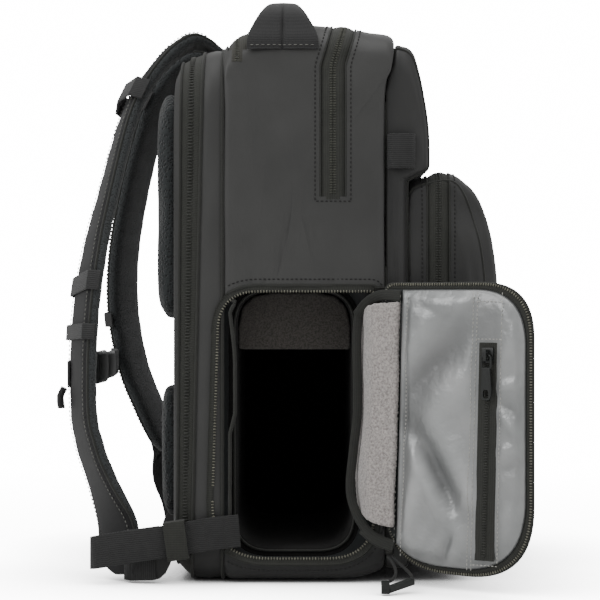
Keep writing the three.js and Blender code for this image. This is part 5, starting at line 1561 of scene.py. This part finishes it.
def fleecy_copy(node, material):
    piece = rounded_copy(node, material, 0, "fleece_light")
    remesh = piece.modifiers.new("squares", "REMESH")
    remesh.mode = "VOXEL"
    remesh.voxel_size = FLEECE_VOXEL * MM
    smooth = piece.modifiers.new("smooth", "SMOOTH")
    smooth.iterations = 4
    settle(piece)
    work = bmesh.new()
    work.from_mesh(piece.data)
    work.normal_update()
    low = np.min([vertex.co for vertex in work.verts], axis=0) / MM
    span = np.max([vertex.co for vertex in work.verts], axis=0) / MM - low
    for vertex in work.verts:
        x, y, z = vertex.co / MM
        across, up = (x - low[0]) / span[0], (z - low[2]) / span[2]
        spread = across * (5 * up - 1) - (1 - across) * (3 + 4 * math.exp(-(((up - 0.2) / 0.15) ** 2)))
        vertex.co += Vector((spread, 0, FLEECE_LIFT)) * MM
        lump = math.sin(x * 1.9 + 2.1 * math.sin(z * 0.7))
        lump *= math.sin(z * 1.7 + 1.3 * math.sin(y * 0.9 + z * 0.31))
        broad = math.sin(z / 13 + x / 7) * math.sin(x / 9 - z / 29)
        vertex.co += vertex.normal * (FLEECE_LUMPS * lump + FLEECE_SWELLS * broad) * MM
    work.to_mesh(piece.data)
    work.free()
    piece.data.materials.clear()
    piece.data.materials.append(material)
    shade(piece.data, 180)


def hinge_binding(name, wide, points, thick=2.4):
    """A bound edge of olive tape beside the fleece, from points (x, y, z)."""
    path = smooth_path(points, 3)
    rings = []
    for place, direction in zip(path, tangents(path)):
        across = np.cross(direction, (0.15, -1.0, 0.0))
        across /= np.linalg.norm(across)
        out = np.cross(across, direction)
        rings.append([place + 0.5 * wide * s * across + 0.5 * thick * n * out for s, n in padded_section(12)])
    lofted(name, rings, BINDING, slot="zip_tape", angle=60)


fleecy_copy("hinge_fleece", PALE_FLEECE)
BINDINGS = {
    "side": (7, [
        (41, -138, 203), (39.5, -140, 180), (40, -141, 130), (37, -141, 100), (34.5, -140, 70),
        (39.5, -143, 51), (49, -148, 36),
    ]),
    "top": (8, [(40, -139, 200), (47, -145, 209), (57, -153, 214.5), (71, -163, 214)]),
    "low": (9, [(44, -146, 41), (53, -152, 34), (66, -160, 29.5)]),
}
for label, (wide, points) in BINDINGS.items():
    hinge_binding(f"hinge_binding_{label}", wide, points)
SMALL_PARTS = [
    ("door_top_slider", SLIDER_METAL, 1.1, "metal"), ("door_low_slider", SLIDER_METAL, 0.9, "metal"),
    ("pull_grip", ACETAL, 0.8, "moulded_plastic"), ("buckle_socket", ACETAL, 1.2, "moulded_plastic"),
    ("buckle_plug", ACETAL, 1.2, "moulded_plastic"),
]
for part in SMALL_PARTS:
    rounded_copy(*part, segments=4)
print("small parts:", len(SMALL_PARTS))

# %% [markdown]
# The floor is a pale disc that fades to the white of the studio at its rim, so no edge shows. The soft
# shadow the camera sees under the bag is painted shadow: ambient occlusion dims the floor's glow there. Big
# area lights stand for a light tent: one above, one from the front left and a weaker one from the right.

# %% Floor
FLOOR_RADIUS = 3.0
FADE_FROM, FADE_TO = 250, 900
PAPER_GLOW, RIM_GLOW = 12, 16
SHADOW_REACH, SHADOW_DEPTH = 0.16, 2.2


def by_ray(tree, lit, seen):
    """One shader for the rays that light the bag and another for the camera's own."""
    eye = add(tree, "ShaderNodeLightPath").outputs["Is Camera Ray"]
    return add(tree, "ShaderNodeMixShader", {0: eye, 1: lit, 2: seen}).outputs[0]


def floor_paint():
    """Paper that glows bright to the eye, with painted shadow where the bag covers it, and lights the bag as
    dull paper.
    """
    made, tree, shader, solid, _ = blank("studio_paper")
    far = add(tree, "ShaderNodeVectorMath", {0: solid}, operation="LENGTH").outputs["Value"]
    fade = add(tree, "ShaderNodeMapRange", {"Value": far, "From Min": FADE_FROM, "From Max": FADE_TO})
    level = blend_of(tree, PAPER_GLOW, RIM_GLOW, fade.outputs[0])
    # Painted shadow: ambient occlusion dims the floor's glow where the bag covers it.
    painted_shadow_ao = add(tree, "ShaderNodeAmbientOcclusion", {"Distance": SHADOW_REACH}, samples=16).outputs["AO"]
    strength = maths(tree, "MULTIPLY", maths(tree, "POWER", painted_shadow_ao, SHADOW_DEPTH), level)
    glow = add(tree, "ShaderNodeEmission", {"Color": linear("#ffffff"), "Strength": strength})
    paint = by_ray(tree, shader.outputs[0], glow.outputs[0])
    feed(tree, tree.nodes["Material Output"], {"Surface": paint})
    feed(tree, shader, {"Base Color": linear("#e8e8e7"), "Roughness": 0.9})
    return made


turns = np.arange(64) * 2 * math.pi / 64
disc = [(1000 * FLOOR_RADIUS * math.cos(t), 1000 * FLOOR_RADIUS * math.sin(t), -0.3) for t in turns]
floor = make("studio_floor", disc, [tuple(range(64))], floor_paint(), body=None)
print("floor radius in metres:", FLOOR_RADIUS)

# %% Lights
TENT_LIGHT = 0.5
LIGHTS = [
    ("tent_top", (-0.1, -0.35, 1.7), 1.5, 13),
    ("tent_left", (-1.5, -1.1, 1.2), 0.8, 12),
    ("tent_right", (1.5, -1.2, 0.8), 1.2, 4),
    ("tent_back", (0.1, 1.6, 1.0), 1.4, 6),
]
for name, place, size, power in LIGHTS:
    data = bpy.data.lights.new(name, "AREA")
    data.size = size
    data.energy = power
    lamp = bpy.data.objects.new(name, data)
    lamp.location = place
    aim = Vector((0, 0, 0.2)) - Vector(place)
    lamp.rotation_euler = aim.to_track_quat("-Z", "Y").to_euler()
    scene.collection.objects.link(lamp)

world = bpy.data.worlds.new("white_tent")
world.use_nodes = True
tent = world.node_tree
soft = tent.nodes["Background"]
feed(tent, soft, {"Color": linear("#ffffff"), "Strength": TENT_LIGHT})
backdrop = add(tent, "ShaderNodeBackground", {"Color": linear("#ffffff"), "Strength": RIM_GLOW})
feed(tent, tent.nodes["World Output"], {"Surface": by_ray(tent, soft.outputs[0], backdrop.outputs[0])})
scene.world = world
print("lights:", len(LIGHTS))
